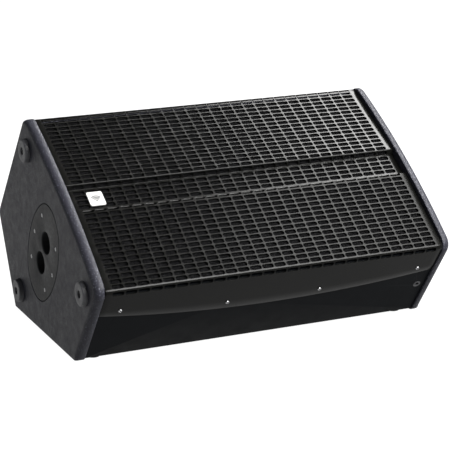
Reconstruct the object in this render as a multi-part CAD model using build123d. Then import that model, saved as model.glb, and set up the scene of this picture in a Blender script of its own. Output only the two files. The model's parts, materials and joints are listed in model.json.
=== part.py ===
from build123d import *
from math import cos, radians, sin, sqrt, tan
import os

# Stage monitor wedge: a 12-inch two-way powered loudspeaker lying on its floor face.
# Millimetres, +Z up. X runs along the cabinet, the baffle looks up and towards -Y.
# The section of the cabinet is drawn in the Y-Z plane; "chord" means the straight line
# from the front top corner to the rear top corner of that section, just above the grille.

# ---------------------------------------------------------------- driving dimensions
cabinet_length = 620.0
board = 15.0
base_depth = 284.0
front_face_width = 171.0
front_lean = 123.9
chord_length = 374.0
chord_tilt = 32.7
rear_face_width = 166.0
rear_face_tilt = 62.8

shell_inset = 3.5
rim_bow = 12.0
corner_round = 20.0
edge_round = 9.0

sheet = 1.5
grille_half_length = 294.0
hole_columns = 27
column_pitch = 21.0
upper_pitch = 9.65
lower_pitch = 9.8
channel_pitch = 9.7
hole_width = 19.1
hole_height = 7.6

baffle_depth = 38.0
woofer_x = -118.0
horn_x = 160.0
driver_line_u = 187.0

foot_height = 7.5
pad_thickness = 6.0

half_length = cabinet_length / 2
inner_half = half_length - board


# ---------------------------------------------------------------- section geometry
def along(angle, distance):
    """Step in the section plane, the angle counted from +Y towards +Z."""
    return Vector(0, distance * cos(radians(angle)), distance * sin(radians(angle)))


front_bottom = Vector(0, 0, 0)
rear_bottom = Vector(0, base_depth, 0)
rear_edge = rear_bottom + along(rear_face_tilt, rear_face_width)
front_top = front_bottom + along(front_lean, front_face_width)
rear_top = front_top + along(chord_tilt, chord_length)
corners = [front_bottom, rear_bottom, rear_edge, rear_top, front_top]
chord_direction = along(chord_tilt, 1)
chord_normal = along(chord_tilt + 90, 1)


def crossing(point_a, direction_a, point_b, direction_b):
    """Point where two lines of the section plane cross."""
    gap = point_b - point_a
    below = direction_a.Y * direction_b.Z - direction_a.Z * direction_b.Y
    share = (gap.Y * direction_b.Z - gap.Z * direction_b.Y) / below
    return point_a + direction_a * share


def inset_lines(distance):
    """Each side of the section moved inwards, as a point and a direction."""
    lines = []
    for index, start in enumerate(corners):
        end = corners[(index + 1) % len(corners)]
        run = (end - start).normalized()
        inward = Vector(0, -run.Z, run.Y)
        lines.append((start + inward * distance, run))
    return lines


def inset_corners(distance):
    """The five corners of the section after every side has moved inwards."""
    lines = inset_lines(distance)
    return [crossing(*lines[index - 1], *lines[index]) for index in range(len(lines))]


def chord_point(u, v):
    """Section point at u along the chord from the front top corner and v above it."""
    return front_top + chord_direction * u + chord_normal * v


def section_bar(points, x_from, x_to):
    """Straight bar with the given section, between two places along X."""
    outline = make_face(Polyline(*[(p.Y, p.Z) for p in points], close=True))
    return Plane.YZ.offset(x_from).location * extrude(outline, amount=x_to - x_from, dir=(0, 0, 1))


def group(solids):
    """Several separate solids as one node."""
    return Compound(children=[solid for shape in solids for solid in shape.solids()])


# Working planes: each has local z pointing out of the face it lies on.
outer = inset_corners(shell_inset)
inner = inset_corners(shell_inset + board)
outer_lines = inset_lines(shell_inset)
inner_lines = inset_lines(shell_inset + board)

baffle_plane = Plane(origin=front_top, x_dir=(1, 0, 0), z_dir=chord_normal)
front_normal = Vector(0, outer_lines[4][1].Z, -outer_lines[4][1].Y)
front_plane = Plane(origin=outer[4], x_dir=(1, 0, 0), z_dir=front_normal)
rear_normal = Vector(0, outer_lines[1][1].Z, -outer_lines[1][1].Y)
rear_plane = Plane(origin=(outer[1] + outer[2]) / 2, x_dir=(-1, 0, 0), z_dir=rear_normal)
top_normal = Vector(0, outer_lines[2][1].Z, -outer_lines[2][1].Y)
handle_drop = 10.0
top_middle = (outer[2] + outer[3]) / 2 + outer_lines[2][1] * -handle_drop
top_plane = Plane(origin=top_middle, x_dir=(-1, 0, 0), z_dir=top_normal)
top_flange_plane = Plane(origin=outer[3], x_dir=(-1, 0, 0), z_dir=top_normal)
left_origin = front_top - Vector(half_length, 0, 0)
left_plane = Plane(origin=left_origin, x_dir=chord_direction, z_dir=(-1, 0, 0))


def on_plane(plane, shape, x=0.0, y=0.0, z=0.0):
    """Put a shape drawn about the origin on a working plane."""
    return plane.location * Pos(x, y, z) * shape


def rounded_block(width, height, depth, radius):
    """Block with rounded upright edges, from z = 0 down to -depth."""
    return extrude(RectangleRounded(width, height, radius), amount=-depth)


def tube(outer_radius, inner_radius, z_from, z_to):
    """Ring about the z axis."""
    middle = (z_from + z_to) / 2
    ring = Cylinder(outer_radius, z_to - z_from) - Cylinder(inner_radius, z_to - z_from)
    return Pos(0, 0, middle) * ring


def disc(radius, z_from, z_to):
    """Solid disc about the z axis."""
    return Pos(0, 0, (z_from + z_to) / 2) * Cylinder(radius, z_to - z_from)


def turned(*points):
    """Solid of revolution about z from (radius, z) points."""
    outline = make_face(Polyline(*points, close=True))
    return revolve(Plane.XZ.location * outline, Axis.Z)


def pan_screw(head_radius, head_height, shank_radius, length):
    """Pan-head screw with a cross recess, head seated on z = 0."""
    head = disc(head_radius, 0, head_height)
    head = fillet(head.edges().group_by(Axis.Z)[-1], head_height * 0.45)
    recess = Box(head_radius, 0.9, head_height) + Box(0.9, head_radius, head_height)
    head -= Pos(0, 0, head_height) * recess
    return head + disc(shank_radius, -length, 0)


def oval(half_long, half_short, end_radius):
    """Four-arc oval face, its long axis along x."""
    side_radius = half_long**2 + half_short**2 - 2 * half_long * end_radius
    side_radius /= 2 * (half_short - end_radius)
    drop = side_radius - half_short
    reach = sqrt((half_long - end_radius) ** 2 + drop**2)
    x_join = side_radius * (half_long - end_radius) / reach
    y_join = side_radius * drop / reach - drop
    top = ThreePointArc((-x_join, y_join), (0, half_short), (x_join, y_join))
    right = ThreePointArc((x_join, y_join), (half_long, 0), (x_join, -y_join))
    bottom = ThreePointArc((x_join, -y_join), (0, -half_short), (-x_join, -y_join))
    left = ThreePointArc((-x_join, -y_join), (-half_long, 0), (-x_join, y_join))
    return make_face([top, right, bottom, left])


# ---------------------------------------------------------------- end panels
def end_profile():
    """End panel outline: bowed chord side, rounded front and top corners, crisp rear."""
    line = Polyline(
        *[(p.Y, p.Z) for p in (rear_top, rear_edge, rear_bottom, front_bottom, front_top)]
    )
    middle = chord_point(chord_length / 2, rim_bow)
    bow = ThreePointArc(
        (front_top.Y, front_top.Z), (middle.Y, middle.Z), (rear_top.Y, rear_top.Z)
    )
    outline = make_face([line, bow])
    rounding = {corner_round: (rear_top, front_top, front_bottom), 4.0: (rear_edge, rear_bottom)}
    for radius, places in rounding.items():
        for place in places:
            near = Vector(place.Y, place.Z, 0)
            vertex = outline.vertices().sort_by_distance(near)[0]
            outline = fillet(vertex, radius)
    return outline


def end_panel(side):
    """One end panel; side is -1 on the left, +1 on the right. Its outer edge is rounded."""
    panel = extrude(end_profile(), amount=board, dir=(0, 0, 1))
    outer_edges = panel.edges().group_by(Axis.Z)[-1]
    panel = fillet(outer_edges, edge_round)
    if side < 0:
        panel = mirror(panel, Plane.XY)
    return Plane.YZ.offset(side * inner_half).location * panel


# ---------------------------------------------------------------- cabinet boards
def cabinet_boards():
    """Four mitred boards and the sunk baffle, between the end panels."""
    cut_v = -14.0
    front_cut = chord_point(0, cut_v)
    boards = {}
    boards["bottom_panel"] = [outer[0], outer[1], inner[1], inner[0]]
    boards["back_panel"] = [outer[1], outer[2], inner[2], inner[1]]
    boards["rear_upper_panel"] = [
        outer[2],
        crossing(*outer_lines[2], front_cut, chord_direction),
        crossing(*inner_lines[2], front_cut, chord_direction),
        inner[2],
    ]
    boards["front_panel"] = [
        outer[0],
        inner[0],
        crossing(*inner_lines[4], front_cut, chord_direction),
        crossing(*outer_lines[4], front_cut, chord_direction),
    ]
    face = chord_point(0, -baffle_depth)
    back = chord_point(0, -baffle_depth - board)
    boards["baffle"] = [
        crossing(*inner_lines[4], face, chord_direction),
        crossing(*inner_lines[2], face, chord_direction),
        crossing(*inner_lines[2], back, chord_direction),
        crossing(*inner_lines[4], back, chord_direction),
    ]
    return {name: section_bar(points, -inner_half, inner_half) for name, points in boards.items()}


def battens():
    """Glue battens in the three lower corners and behind the two long edges of the baffle."""
    leg = 20.0
    bars = []
    for index in (0, 1, 2):
        here = inner[index]
        before = here + (inner[index - 1] - here).normalized() * leg
        after = here + (inner[(index + 1) % 5] - here).normalized() * leg
        bars.append(section_bar([here, after, before], -inner_half, inner_half))
    back = chord_point(0, -baffle_depth - board)
    low = chord_point(0, -baffle_depth - board - leg)
    for line, turn in ((inner_lines[4], 1), (inner_lines[2], -1)):
        top_corner = crossing(*line, back, chord_direction)
        low_corner = crossing(*line, low, chord_direction)
        shift = chord_direction * (turn * leg)
        points = [top_corner, low_corner, low_corner + shift, top_corner + shift]
        bars.append(section_bar(points, -inner_half, inner_half))
    return group(bars)


def window_brace():
    """Cross brace between the woofer and the horn, with one large window."""
    thickness = 12.0
    back = chord_point(0, -baffle_depth - board)
    points = [
        inner[0],
        inner[1],
        inner[2],
        crossing(*inner_lines[2], back, chord_direction),
        crossing(*inner_lines[4], back, chord_direction),
    ]
    plate = section_bar(points, 41.0, 41.0 + thickness)
    window = on_plane(baffle_plane, Box(60, 190, 60), 47.0, driver_line_u, -120.0)
    window = fillet(window.edges().filter_by(Axis.X), 20.0)
    return plate - window


# ---------------------------------------------------------------- grille
flange_mid = shell_inset - sheet / 2
front_flange_line = inset_lines(flange_mid)[4]
rear_flange_line = inset_lines(flange_mid)[2]
ridge_rear = chord_point(212.0, 6.2)
channel_rear = chord_point(208.0, -2.4)
channel_front = chord_point(163.5, -2.4)
ridge_front = chord_point(158.5, 4.6)
low_edge = chord_point(3.0, -4.4)
high_edge = chord_point(361.0, -5.8)
front_fold = crossing(*front_flange_line, low_edge, ridge_front - low_edge)
rear_fold = crossing(*rear_flange_line, high_edge, ridge_rear - high_edge)
front_flange_drop = 92.0
rear_flange_drop = 46.0
fold_round = 6.0
crease_round = 2.0


def grille_section():
    """Middle line of the folded sheet, thickened to a closed section."""
    front_run = (front_bottom - front_top).normalized()
    rear_run = (rear_edge - rear_top).normalized()
    middle = [
        front_fold + front_run * front_flange_drop,
        front_fold,
        ridge_front,
        channel_front,
        channel_rear,
        ridge_rear,
        rear_fold,
        rear_fold + rear_run * rear_flange_drop,
    ]
    bends = [fold_round] + [crease_round] * 4 + [fold_round]
    return FilletPolyline(*[(p.Y, p.Z) for p in middle], radius=bends)


def sheet_from_path(path, thickness, x_from, x_to):
    """Sheet metal along a section path, between two places along X."""
    outline = Face(offset_sides(path, thickness))
    return Plane.YZ.offset(x_from).location * extrude(outline, amount=x_to - x_from, dir=(0, 0, 1))


def offset_sides(path, thickness):
    """Closed wire at half a thickness on both sides of an open path."""
    wire = Wire(path.edges())
    left = wire.offset_2d(thickness / 2, kind=Kind.ARC, side=Side.LEFT, closed=False)
    right = wire.offset_2d(thickness / 2, kind=Kind.ARC, side=Side.RIGHT, closed=False)
    caps = []
    for end in (0, 1):
        a = left.position_at(end)
        b = min((right.position_at(0), right.position_at(1)), key=lambda p: (p - a).length)
        caps.append(Edge.make_line(a, b))
    return Wire(left.edges() + right.edges() + caps)


def punch_row(place, run, width, height):
    """One row of slots, punched square to the sheet at a section point."""
    plane = Plane(origin=place, x_dir=(1, 0, 0), z_dir=Vector(0, -run.Z, run.Y))
    first = -(hole_columns - 1) / 2 * column_pitch
    slots = []
    for column in range(hole_columns):
        slots.append(on_plane(plane, Box(width, height, 6), first + column * column_pitch))
    return slots


def punched_rows(start, end, count, margin, pitch):
    """Rows of slots spaced evenly on one flat of the sheet."""
    run = (end - start).normalized()
    slots = []
    for row in range(count):
        slots += punch_row(start + run * (margin + row * pitch), run, hole_width, hole_height)
    return slots


def bend_reach(corner, one, other):
    """Distance from a fold's sharp corner to the start of its bend."""
    return fold_round / tan(radians((one - corner).get_angle(other - corner)) / 2)


def folded_grille():
    """Perforated and folded steel grille with an arched lower edge on its front flange."""
    grille = sheet_from_path(grille_section(), sheet, -grille_half_length, grille_half_length)
    down_front = front_fold + (front_bottom - front_top)
    down_rear = rear_fold + (rear_edge - rear_top)
    front_reach = bend_reach(front_fold, ridge_front, down_front)
    rear_reach = bend_reach(rear_fold, ridge_rear, down_rear)
    over_ridge = (ridge_front - front_fold).normalized() + (channel_front - ridge_front).normalized()
    slots = []
    slots += punched_rows(front_fold, down_front, 1, front_reach + 0.2, lower_pitch)
    slots += punched_rows(ridge_front, front_fold, 15, 10.3, lower_pitch)
    slots += punch_row(ridge_front, over_ridge.normalized(), hole_width, hole_height)
    slots += punched_rows(channel_rear, channel_front, 4, 7.4, channel_pitch)
    slots += punch_row(
        ridge_rear + (channel_rear - ridge_rear) * 0.53,
        (channel_rear - ridge_rear).normalized(),
        hole_width,
        7.0,
    )
    slots += punched_rows(ridge_rear, rear_fold, 16, 4.9, upper_pitch)
    slots += punched_rows(rear_fold, ridge_rear, 1, rear_reach, upper_pitch)
    grille -= slots
    return grille - front_arch_cutter()


def front_arch_cutter():
    """Takes the front flange's lower edge down to a shallow arch, deepest at mid-length."""
    half = grille_half_length + 2
    edge = ThreePointArc((-half, -57.5), (0, -84.5), (half, -57.5))
    rest = Polyline((half, -57.5), (half, -110.0), (-half, -110.0), (-half, -57.5))
    outline = make_face([edge, rest])
    return on_plane(front_plane, extrude(outline, amount=12, both=True))


def foam_sheet():
    """Acoustic foam bonded behind the perforated flats of the grille."""
    thickness = 5.0
    gap = sheet / 2 + 0.3
    top = [
        chord_point(6.0, -4.2),
        ridge_front,
        channel_front,
        channel_rear,
        ridge_rear,
        chord_point(365.0, -6.1),
    ]
    upper = [p - chord_normal * (gap + 1.2) for p in top]
    lower = [p - chord_normal * (gap + 1.2 + thickness) for p in reversed(top)]
    return section_bar(upper + lower, -grille_half_length + 2, grille_half_length - 2)


# ---------------------------------------------------------------- woofer (axis on local z)
def woofer_parts():
    """Twelve-inch driver about its own axis; z = 0 is the front face of the baffle."""
    parts = {}
    rim = tube(154, 137, 0, 6) + tube(140.5, 137, -14, 0)
    rim += turned((118, -2), (137, -2), (137, 1), (131, 1), (131, 0), (118, 0)) - disc(131, -3, 2)
    spokes = []
    for index in range(6):
        side = [(140, -6), (140, -14), (74, -76), (60, -76), (60, -70), (134, -6)]
        arm = make_face(Polyline(*side, close=True))
        arm = Plane.XZ.location * extrude(arm, amount=9, both=True)
        spokes.append(Rot(0, 0, 60 * index + 30) * arm)
    basket = rim + tube(76, 60, -76, -70) + tube(70, 64, -70, -63)
    for spoke in spokes:
        basket += spoke
    parts["woofer_basket"] = basket
    parts["woofer_top_plate"] = tube(76, 39.4, -84, -76)
    parts["woofer_magnet"] = tube(85, 50, -104, -84)
    parts["woofer_yoke"] = disc(76, -112, -104) + disc(37.0, -104, -77)
    parts["voice_coil"] = tube(38.4, 37.6, -95, -62)
    parts["woofer_cone"] = turned((38.6, -62), (38.6, -60.8), (117.2, 1), (118, 0), (40, -62))
    cap = Pos(0, 0, -95.5) * (Sphere(58) - Sphere(57.2))
    parts["woofer_dust_cap"] = cap & disc(43.5, -56.0, -30)
    parts["woofer_surround"] = turned_roll(127.2, 8.6, 7.8)
    parts["woofer_spider"] = tube(63.6, 40.6, -64.0, -63.0)
    parts["woofer_gasket"] = tube(153.5, 142, 6, 8.5)
    return parts


def turned_roll(mean_radius, outside, inside):
    """Half-roll surround: a half ring section swept round the axis."""
    foot = 1.2
    over = [(mean_radius - outside, foot), (mean_radius, foot + outside), (mean_radius + outside, foot)]
    under = [(mean_radius + inside, foot), (mean_radius, foot + inside), (mean_radius - inside, foot)]
    section = make_face(
        [
            ThreePointArc(*over),
            Line(over[-1], under[0]),
            ThreePointArc(*under),
            Line(under[-1], over[0]),
        ]
    )
    return revolve(Plane.XZ.location * section, Axis.Z)


# ---------------------------------------------------------------- horn and tweeter driver
horn_depth = 105.0
throat_radius = 12.7


def horn_parts():
    """Moulded horn and its compression driver; z = 0 is the front face of the baffle."""
    plate = extrude(RectangleRounded(208, 200, 14), amount=5)
    mouth = RectangleRounded(188, 180, 24)
    outer_throat = RectangleRounded(34, 34, 16.9)
    inner_throat = RectangleRounded(25.4, 25.4, 12.6)
    outside = loft([mouth, Pos(0, 0, -horn_depth) * outer_throat])
    inside = loft([Pos(0, 0, 5) * mouth, Pos(0, 0, -horn_depth) * inner_throat])
    throat_plate = disc(48, -horn_depth - 6, -horn_depth) - disc(throat_radius, -120, -90)
    parts = {"horn": plate + outside + throat_plate - inside}
    back = -horn_depth - 6
    body = disc(52, back - 36, back) - disc(throat_radius, back - 40, back + 1)
    parts["compression_driver"] = body - disc(27, back - 37, back - 26)
    cover = disc(44, back - 54, back - 36) - disc(38, back - 50, back - 35)
    parts["driver_cover"] = cover
    dome = (Sphere(32) - Sphere(31.6)) & disc(25.0, 18, 33)
    parts["hf_diaphragm"] = Pos(0, 0, back - 62) * dome
    return parts


# ---------------------------------------------------------------- pole mount
plate_u = 195.5
plate_v = -131.4
socket_offset = 24.0
socket_radius = 18.25
socket_depth = 75.0
tilted_socket_depth = 72.0
plate_thickness = 4.0
socket_tilt = 3.0


def pole_mount():
    """Flush oval plate with two closed pole sockets, one square to it and one tilted."""
    body = extrude(oval(92.0, 62.0, 52.0), amount=-plate_thickness)
    holes = []
    for side, tilt, depth in ((1, 0.0, socket_depth), (-1, socket_tilt, tilted_socket_depth)):
        place = Pos(side * socket_offset, 0, 0) * Rot(0, tilt, 0)
        body += place * disc(socket_radius + 2.6, -depth - 3, -1)
        holes.append(place * disc(socket_radius, -depth, 10))
    for hole in holes:
        body -= hole
    body -= Pos(0, 0, 5) * Box(300, 300, 10)
    return body


pole_plate_plane = Plane(
    origin=left_plane.from_local_coords(Vector(plate_u, -plate_v, 0)),
    x_dir=chord_normal,
    z_dir=(-1, 0, 0),
)
pole_screw_places = [(50, 36), (50, -36), (-50, 36), (-50, -36), (0, 47), (0, -47)]


# ---------------------------------------------------------------- amplifier module (rear_plane)
dish_width, dish_height, dish_depth = 336.0, 118.0, 22.0
floor_top = -dish_depth + 2.5
socket_places = [(-138, 26), (-106, 26)]
link_place = (-74, 26)
knob_places = [(-138, -24), (-106, -24)]
button_places = [(-80, -16), (-80, -34)]
led_places = [(-58, -16), (-58, -34)]
inlet_place = (132, -24)
switch_place = (132, 26)
fin_count = 11
fin_pitch = 10.0
fin_centre_x = 32.0


def amp_dish():
    """Recessed control dish: flange on the cabinet, straight walls and a thick floor."""
    flange = extrude(RectangleRounded(dish_width + 24, dish_height + 20, 6), amount=sheet)
    tub = rounded_block(dish_width, dish_height, dish_depth, 8)
    hollow = Pos(0, 0, sheet + 1) * rounded_block(
        dish_width - 4, dish_height - 4, dish_depth - 2.5 + sheet + 1, 6
    )
    dish = flange + tub - hollow
    for x, y in socket_places + [link_place]:
        dish -= Pos(x, y, 0) * disc(11.8, -30, 0)
    for x, y in socket_places:
        dish -= Pos(x, y + 11.4, -20) * Box(9.0, 6.4, 20)
    for x, y in knob_places:
        dish -= Pos(x, y, 0) * disc(3.6, -30, 0)
    for x, y in button_places:
        dish -= Pos(x, y, -20) * Box(7.0, 7.0, 20)
    for x, y in led_places:
        dish -= Pos(x, y, 0) * disc(1.5, -30, 0)
    dish -= Pos(*inlet_place, -20) * Box(28, 21, 20)
    dish -= Pos(*switch_place, -20) * Box(22, 16, 20)
    return dish


def heatsink():
    """Finned aluminium block standing on the dish floor."""
    width = (fin_count - 1) * fin_pitch + 3
    block = Pos(fin_centre_x, 0, floor_top + 1.5) * Box(width, 104, 3)
    for index in range(fin_count):
        x = fin_centre_x + (index - (fin_count - 1) / 2) * fin_pitch
        block += Pos(x, 0, floor_top + 9.5) * Box(2.4, 104, 14)
    return block


def signal_socket():
    """Female panel socket with a square flange, three contact holes and a latch slot."""
    body = Pos(0, 0, floor_top) * extrude(RectangleRounded(26, 31, 3), amount=2)
    body += disc(11.5, floor_top - 22, floor_top)
    body -= tube(8.2, 6.6, floor_top - 8, 3)
    body -= Pos(0, 11.4, floor_top - 4) * Box(8.2, 5.6, 16)
    for angle in (90, 210, 330):
        body -= Rot(0, 0, angle) * Pos(4.0, 0, 0) * disc(1.3, floor_top - 10, 0)
    return body


def link_output():
    """Male panel socket: a cup with three pins."""
    body = Pos(0, 0, floor_top) * extrude(RectangleRounded(26, 31, 3), amount=2)
    body += disc(11.5, floor_top - 22, floor_top)
    body -= disc(9.0, floor_top - 15, 3)
    pins = []
    for angle in (90, 210, 330):
        pins.append(Rot(0, 0, angle) * Pos(4.2, 0, 0) * disc(1.2, floor_top - 15, floor_top - 3))
    for pin in pins:
        body += pin
    return body


def level_knob():
    """Fluted knob with a pointer groove, its spindle reaching into the control behind."""
    top = floor_top + 13.5
    knob = disc(7.5, floor_top + 1.0, top)
    knob = fillet(knob.edges().group_by(Axis.Z)[-1], 1.2)
    for index in range(12):
        knob -= Rot(0, 0, index * 30 + 15) * Pos(8.1, 0, 0) * disc(1.3, floor_top + 3, top + 1)
    knob -= Pos(0, 4.5, top) * Box(0.9, 6.4, 1.2)
    return knob + disc(3.0, floor_top - 11, floor_top + 1.0)


def potentiometer():
    """Rotary control under the dish floor."""
    case = Pos(0, 0, floor_top - 9.5) * Box(16, 16, 9)
    return case - disc(3.05, floor_top - 11.4, floor_top)


def push_cap():
    """Square button cap with a stem down into its switch."""
    cap = Pos(0, 0, floor_top + 2.0) * Box(6.4, 6.4, 6)
    cap = fillet(cap.edges().group_by(Axis.Z)[-1], 0.7)
    return cap + Pos(0, 0, floor_top - 3.5) * Box(3, 3, 6)


def push_switch():
    """Body of a push switch, with a well for the stem."""
    return Pos(0, 0, floor_top - 10) * Box(9, 9, 10) - Pos(0, 0, floor_top - 8) * Box(3.4, 3.4, 8.1)


rocker_swing = 9.0


def rocker_parts():
    """Snap-in switch frame with a hollow, and the rocker that tilts in it about local y."""
    frame = Pos(0, 0, floor_top) * extrude(RectangleRounded(25, 19, 2), amount=2)
    frame += Pos(0, 0, floor_top - 9) * Box(21.6, 15.6, 18)
    frame -= Pos(0, 0, floor_top - 5) * Box(18.6, 11.4, 16)
    axle_z = floor_top - 4.0
    half = [(8.4, 4.6), (8.4, 3.0), (3.5, -3.6)]
    mirrored = [(-x, y) for x, y in reversed(half)]
    outline = make_face(Polyline((0, 3.2), *half, *mirrored, close=True))
    rocker = Plane.XZ.location * extrude(outline, amount=5.4, both=True)
    pin = Rot(90, 0, 0) * Cylinder(1.3, 13.6)
    rocker += pin
    rocker = Pos(0, 0, axle_z) * Rot(0, rocker_swing, 0) * rocker
    frame -= Pos(0, 0, axle_z) * Rot(90, 0, 0) * Cylinder(1.36, 13.8)
    return frame, rocker


def mains_inlet():
    """Three-pole mains inlet with its flange and cavity."""
    body = Pos(0, 0, floor_top) * extrude(RectangleRounded(38, 25, 4), amount=2)
    body += Pos(0, 0, floor_top - 10) * Box(27.6, 20.6, 20)
    body -= Pos(0, 0, floor_top - 7) * Box(24, 16.5, 20)
    return body


def inlet_pins():
    """Three flat contact blades standing in the inlet."""
    places = [(-7, -1.5), (0, 3.0), (7, -1.5)]
    return group([Pos(x, y, floor_top - 10.5) * Box(2, 4, 13) for x, y in places])


housing_depth = 62.0


def amp_housing():
    """Steel box that closes the electronics off from the cabinet's air."""
    top = -dish_depth
    box = Pos(0, 0, top - housing_depth / 2) * Box(dish_width - 6, dish_height - 6, housing_depth)
    return box - Pos(0, 0, top - (housing_depth - sheet) / 2) * Box(
        dish_width - 9, dish_height - 9, housing_depth - sheet
    )


def latch_tab():
    """Release tab of a female socket."""
    return Pos(0, 11.4, floor_top - 1.0) * Box(7.6, 5.0, 8)


def circuit_boards():
    """Input board behind the controls, and the power board with its tall components."""
    input_board = Pos(-108, 0, -47) * Box(96, 98, 1.6)
    power_board = Pos(48, 0, -72) * Box(196, 98, 1.6)
    parts = [Pos(0, 0, -60.2) * Pos(-6 + 22 * k, -32, 0) * disc(9, -11, 14) for k in range(4)]
    parts += [Pos(84, 26, 0) * disc(11, -71.2, -50), Pos(10, 30, -64) * Box(34, 26, 14)]
    transformer = Pos(110, -14, 0) * tube(27, 9, -71.2, -48)
    return input_board, group([power_board] + parts), transformer


# ---------------------------------------------------------------- handle (top_plane)
cup_width, cup_height, cup_depth = 168.0, 92.0, 58.0
cup_wall = 3.0
bar_place = (17.0, -15.0)


def handle_cup():
    """Recessed hand cup with a flange on the cabinet."""
    cup = extrude(RectangleRounded(cup_width + 28, cup_height + 28, 14), amount=2)
    cup += rounded_block(cup_width, cup_height, cup_depth, 18)
    hollow = rounded_block(
        cup_width - 2 * cup_wall, cup_height - 2 * cup_wall, cup_depth + 5 - cup_wall, 15
    )
    return cup - Pos(0, 0, 5) * hollow


def handle_bar():
    """Grip bar across the mouth of the cup, with shallow finger waves underneath."""
    length = cup_width - 2 * cup_wall
    bar = extrude(RectangleRounded(21, 24, 9), amount=length / 2, both=True)
    bar = Rot(0, 90, 0) * bar
    for index in range(4):
        place = Pos((index - 1.5) * 25, 0, -20.5) * Rot(90, 0, 0)
        bar -= place * Cylinder(12, 40)
    return bar


# ---------------------------------------------------------------- assembly
parts = {}
parts["left_end_panel"] = end_panel(-1)
parts["right_end_panel"] = end_panel(1)
parts.update(cabinet_boards())
parts["corner_battens"] = battens()
parts["window_brace"] = window_brace() - parts["corner_battens"]
parts["grille"] = folded_grille()
parts["grille_foam"] = foam_sheet()

# Pole mount, let into the left end panel flush with its face
pole_body = pole_mount()
pole_screws = [
    Pos(x, y, -1.6) * pan_screw(3.6, 1.6, 2.0, 14) for x, y in pole_screw_places
]
recess = extrude(oval(93.0, 63.0, 53.0), amount=-plate_thickness)
for x, y in pole_screw_places:
    pole_body -= Pos(x, y, 0) * (disc(3.9, -1.6, 1) + disc(2.0, -20, 0))
through = Pos(socket_offset, 0, 0) * disc(socket_radius + 3.0, -90, 2)
through += Pos(-socket_offset, 0, 0) * Rot(0, socket_tilt, 0) * disc(socket_radius + 3.0, -90, 2)
parts["pole_mount"] = on_plane(pole_plate_plane, pole_body)
parts["pole_mount_screws"] = on_plane(pole_plate_plane, group(pole_screws))
parts["left_end_panel"] -= on_plane(pole_plate_plane, recess)
parts["left_end_panel"] -= on_plane(pole_plate_plane, through)
parts["left_end_panel"] -= parts["pole_mount_screws"]

# Rubber feet on the left end, for standing the cabinet upright
foot_places = [Vector(0, -37.6, 124.3), Vector(0, 256.5, 37.6), Vector(0, 212.3, 288.2)]
foot_planes = [
    Plane(origin=place - Vector(half_length, 0, 0), x_dir=(0, 1, 0), z_dir=(-1, 0, 0))
    for place in foot_places
]
foot = extrude(Circle(20), amount=foot_height, taper=14)
foot = fillet(foot.edges().group_by(Axis.Z)[-1], 2.0)
foot -= disc(6.0, 3.0, 12) + disc(2.5, -1, 5)
foot_screw = Pos(0, 0, 3.0) * pan_screw(5.0, 2.4, 2.5, 16)
parts["end_feet"] = group([on_plane(plane, foot) for plane in foot_planes])
parts["end_feet_screws"] = group([on_plane(plane, foot_screw) for plane in foot_planes])
parts["left_end_panel"] -= parts["end_feet_screws"]

# Thin pads under the floor face
pad = extrude(Circle(12), amount=-pad_thickness)
pad = fillet(pad.edges().group_by(Axis.Z)[0], 1.0)
pad_top = outer[0].Z
parts["floor_feet"] = group([Pos(x, y, pad_top) * pad for x in (-272, 272) for y in (24, 258)])

# Grille screws, four on each flange
screw_rows = [(-261.0, -49.5), (-76.0, -68.0), (87.5, -68.0), (263.0, -49.5)]
small_screw = pan_screw(3.2, 1.8, 1.8, 14)
front_screws = [on_plane(front_plane, small_screw, x, y, 0.0) for x, y in screw_rows]
rear_screws = [on_plane(top_flange_plane, small_screw, x, -36.0, 0.0) for x, y in screw_rows]
parts["grille_screws"] = group(
    [Pos(*(front_normal * sheet)) * s for s in front_screws]
    + [Pos(*(top_normal * sheet)) * s for s in rear_screws]
)
for name in ("grille", "front_panel", "rear_upper_panel"):
    parts[name] -= parts["grille_screws"]

# Threaded insert near the right end of the front face
insert_place = (280.5, -97.0)
insert = disc(6.5, -12, 0.6) - disc(3.4, -12, 1)
parts["rigging_insert"] = on_plane(front_plane, insert, *insert_place)
parts["front_panel"] -= on_plane(front_plane, disc(6.5, -12, 1), *insert_place)

# Blank emblem plate on the channel of the grille
badge = extrude(RectangleRounded(26, 28.5, 3), amount=1.6)
badge = fillet(badge.edges().group_by(Axis.Z)[-1], 0.5)
badge_v = -2.4 + sheet / 2
parts["badge_plate"] = on_plane(baffle_plane, badge, -249.5, 185.0, badge_v)

# Woofer and horn on the baffle
woofer_at = (woofer_x, driver_line_u, -baffle_depth)
horn_at = (horn_x, driver_line_u, -baffle_depth)
driver_screws = []
for index in range(8):
    turn = Rot(0, 0, 45 * index + 22.5)
    driver_screws.append(Pos(*woofer_at[:2], 0) * turn * Pos(147.5, 0, 8.5) * pan_screw(4.6, 3, 2.4, 18))
for x in (-95, 0, 95):
    for y in (-92, 92):
        driver_screws.append(Pos(*horn_at[:2], 0) * Pos(x, y, 5) * pan_screw(4.6, 3, 2.4, 15))
parts["driver_screws"] = on_plane(baffle_plane, group(driver_screws), 0, 0, -baffle_depth)
for name, shape in woofer_parts().items():
    parts[name] = on_plane(baffle_plane, shape, *woofer_at)
for name, shape in horn_parts().items():
    parts[name] = on_plane(baffle_plane, shape, *horn_at)
for name in ("woofer_basket", "woofer_gasket", "horn", "baffle"):
    parts[name] -= parts["driver_screws"]
parts["baffle"] -= on_plane(baffle_plane, disc(141, -40, 5), *woofer_at)
parts["baffle"] -= on_plane(baffle_plane, Pos(0, 0, -10) * Box(190, 182, 60), *horn_at)

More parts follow.
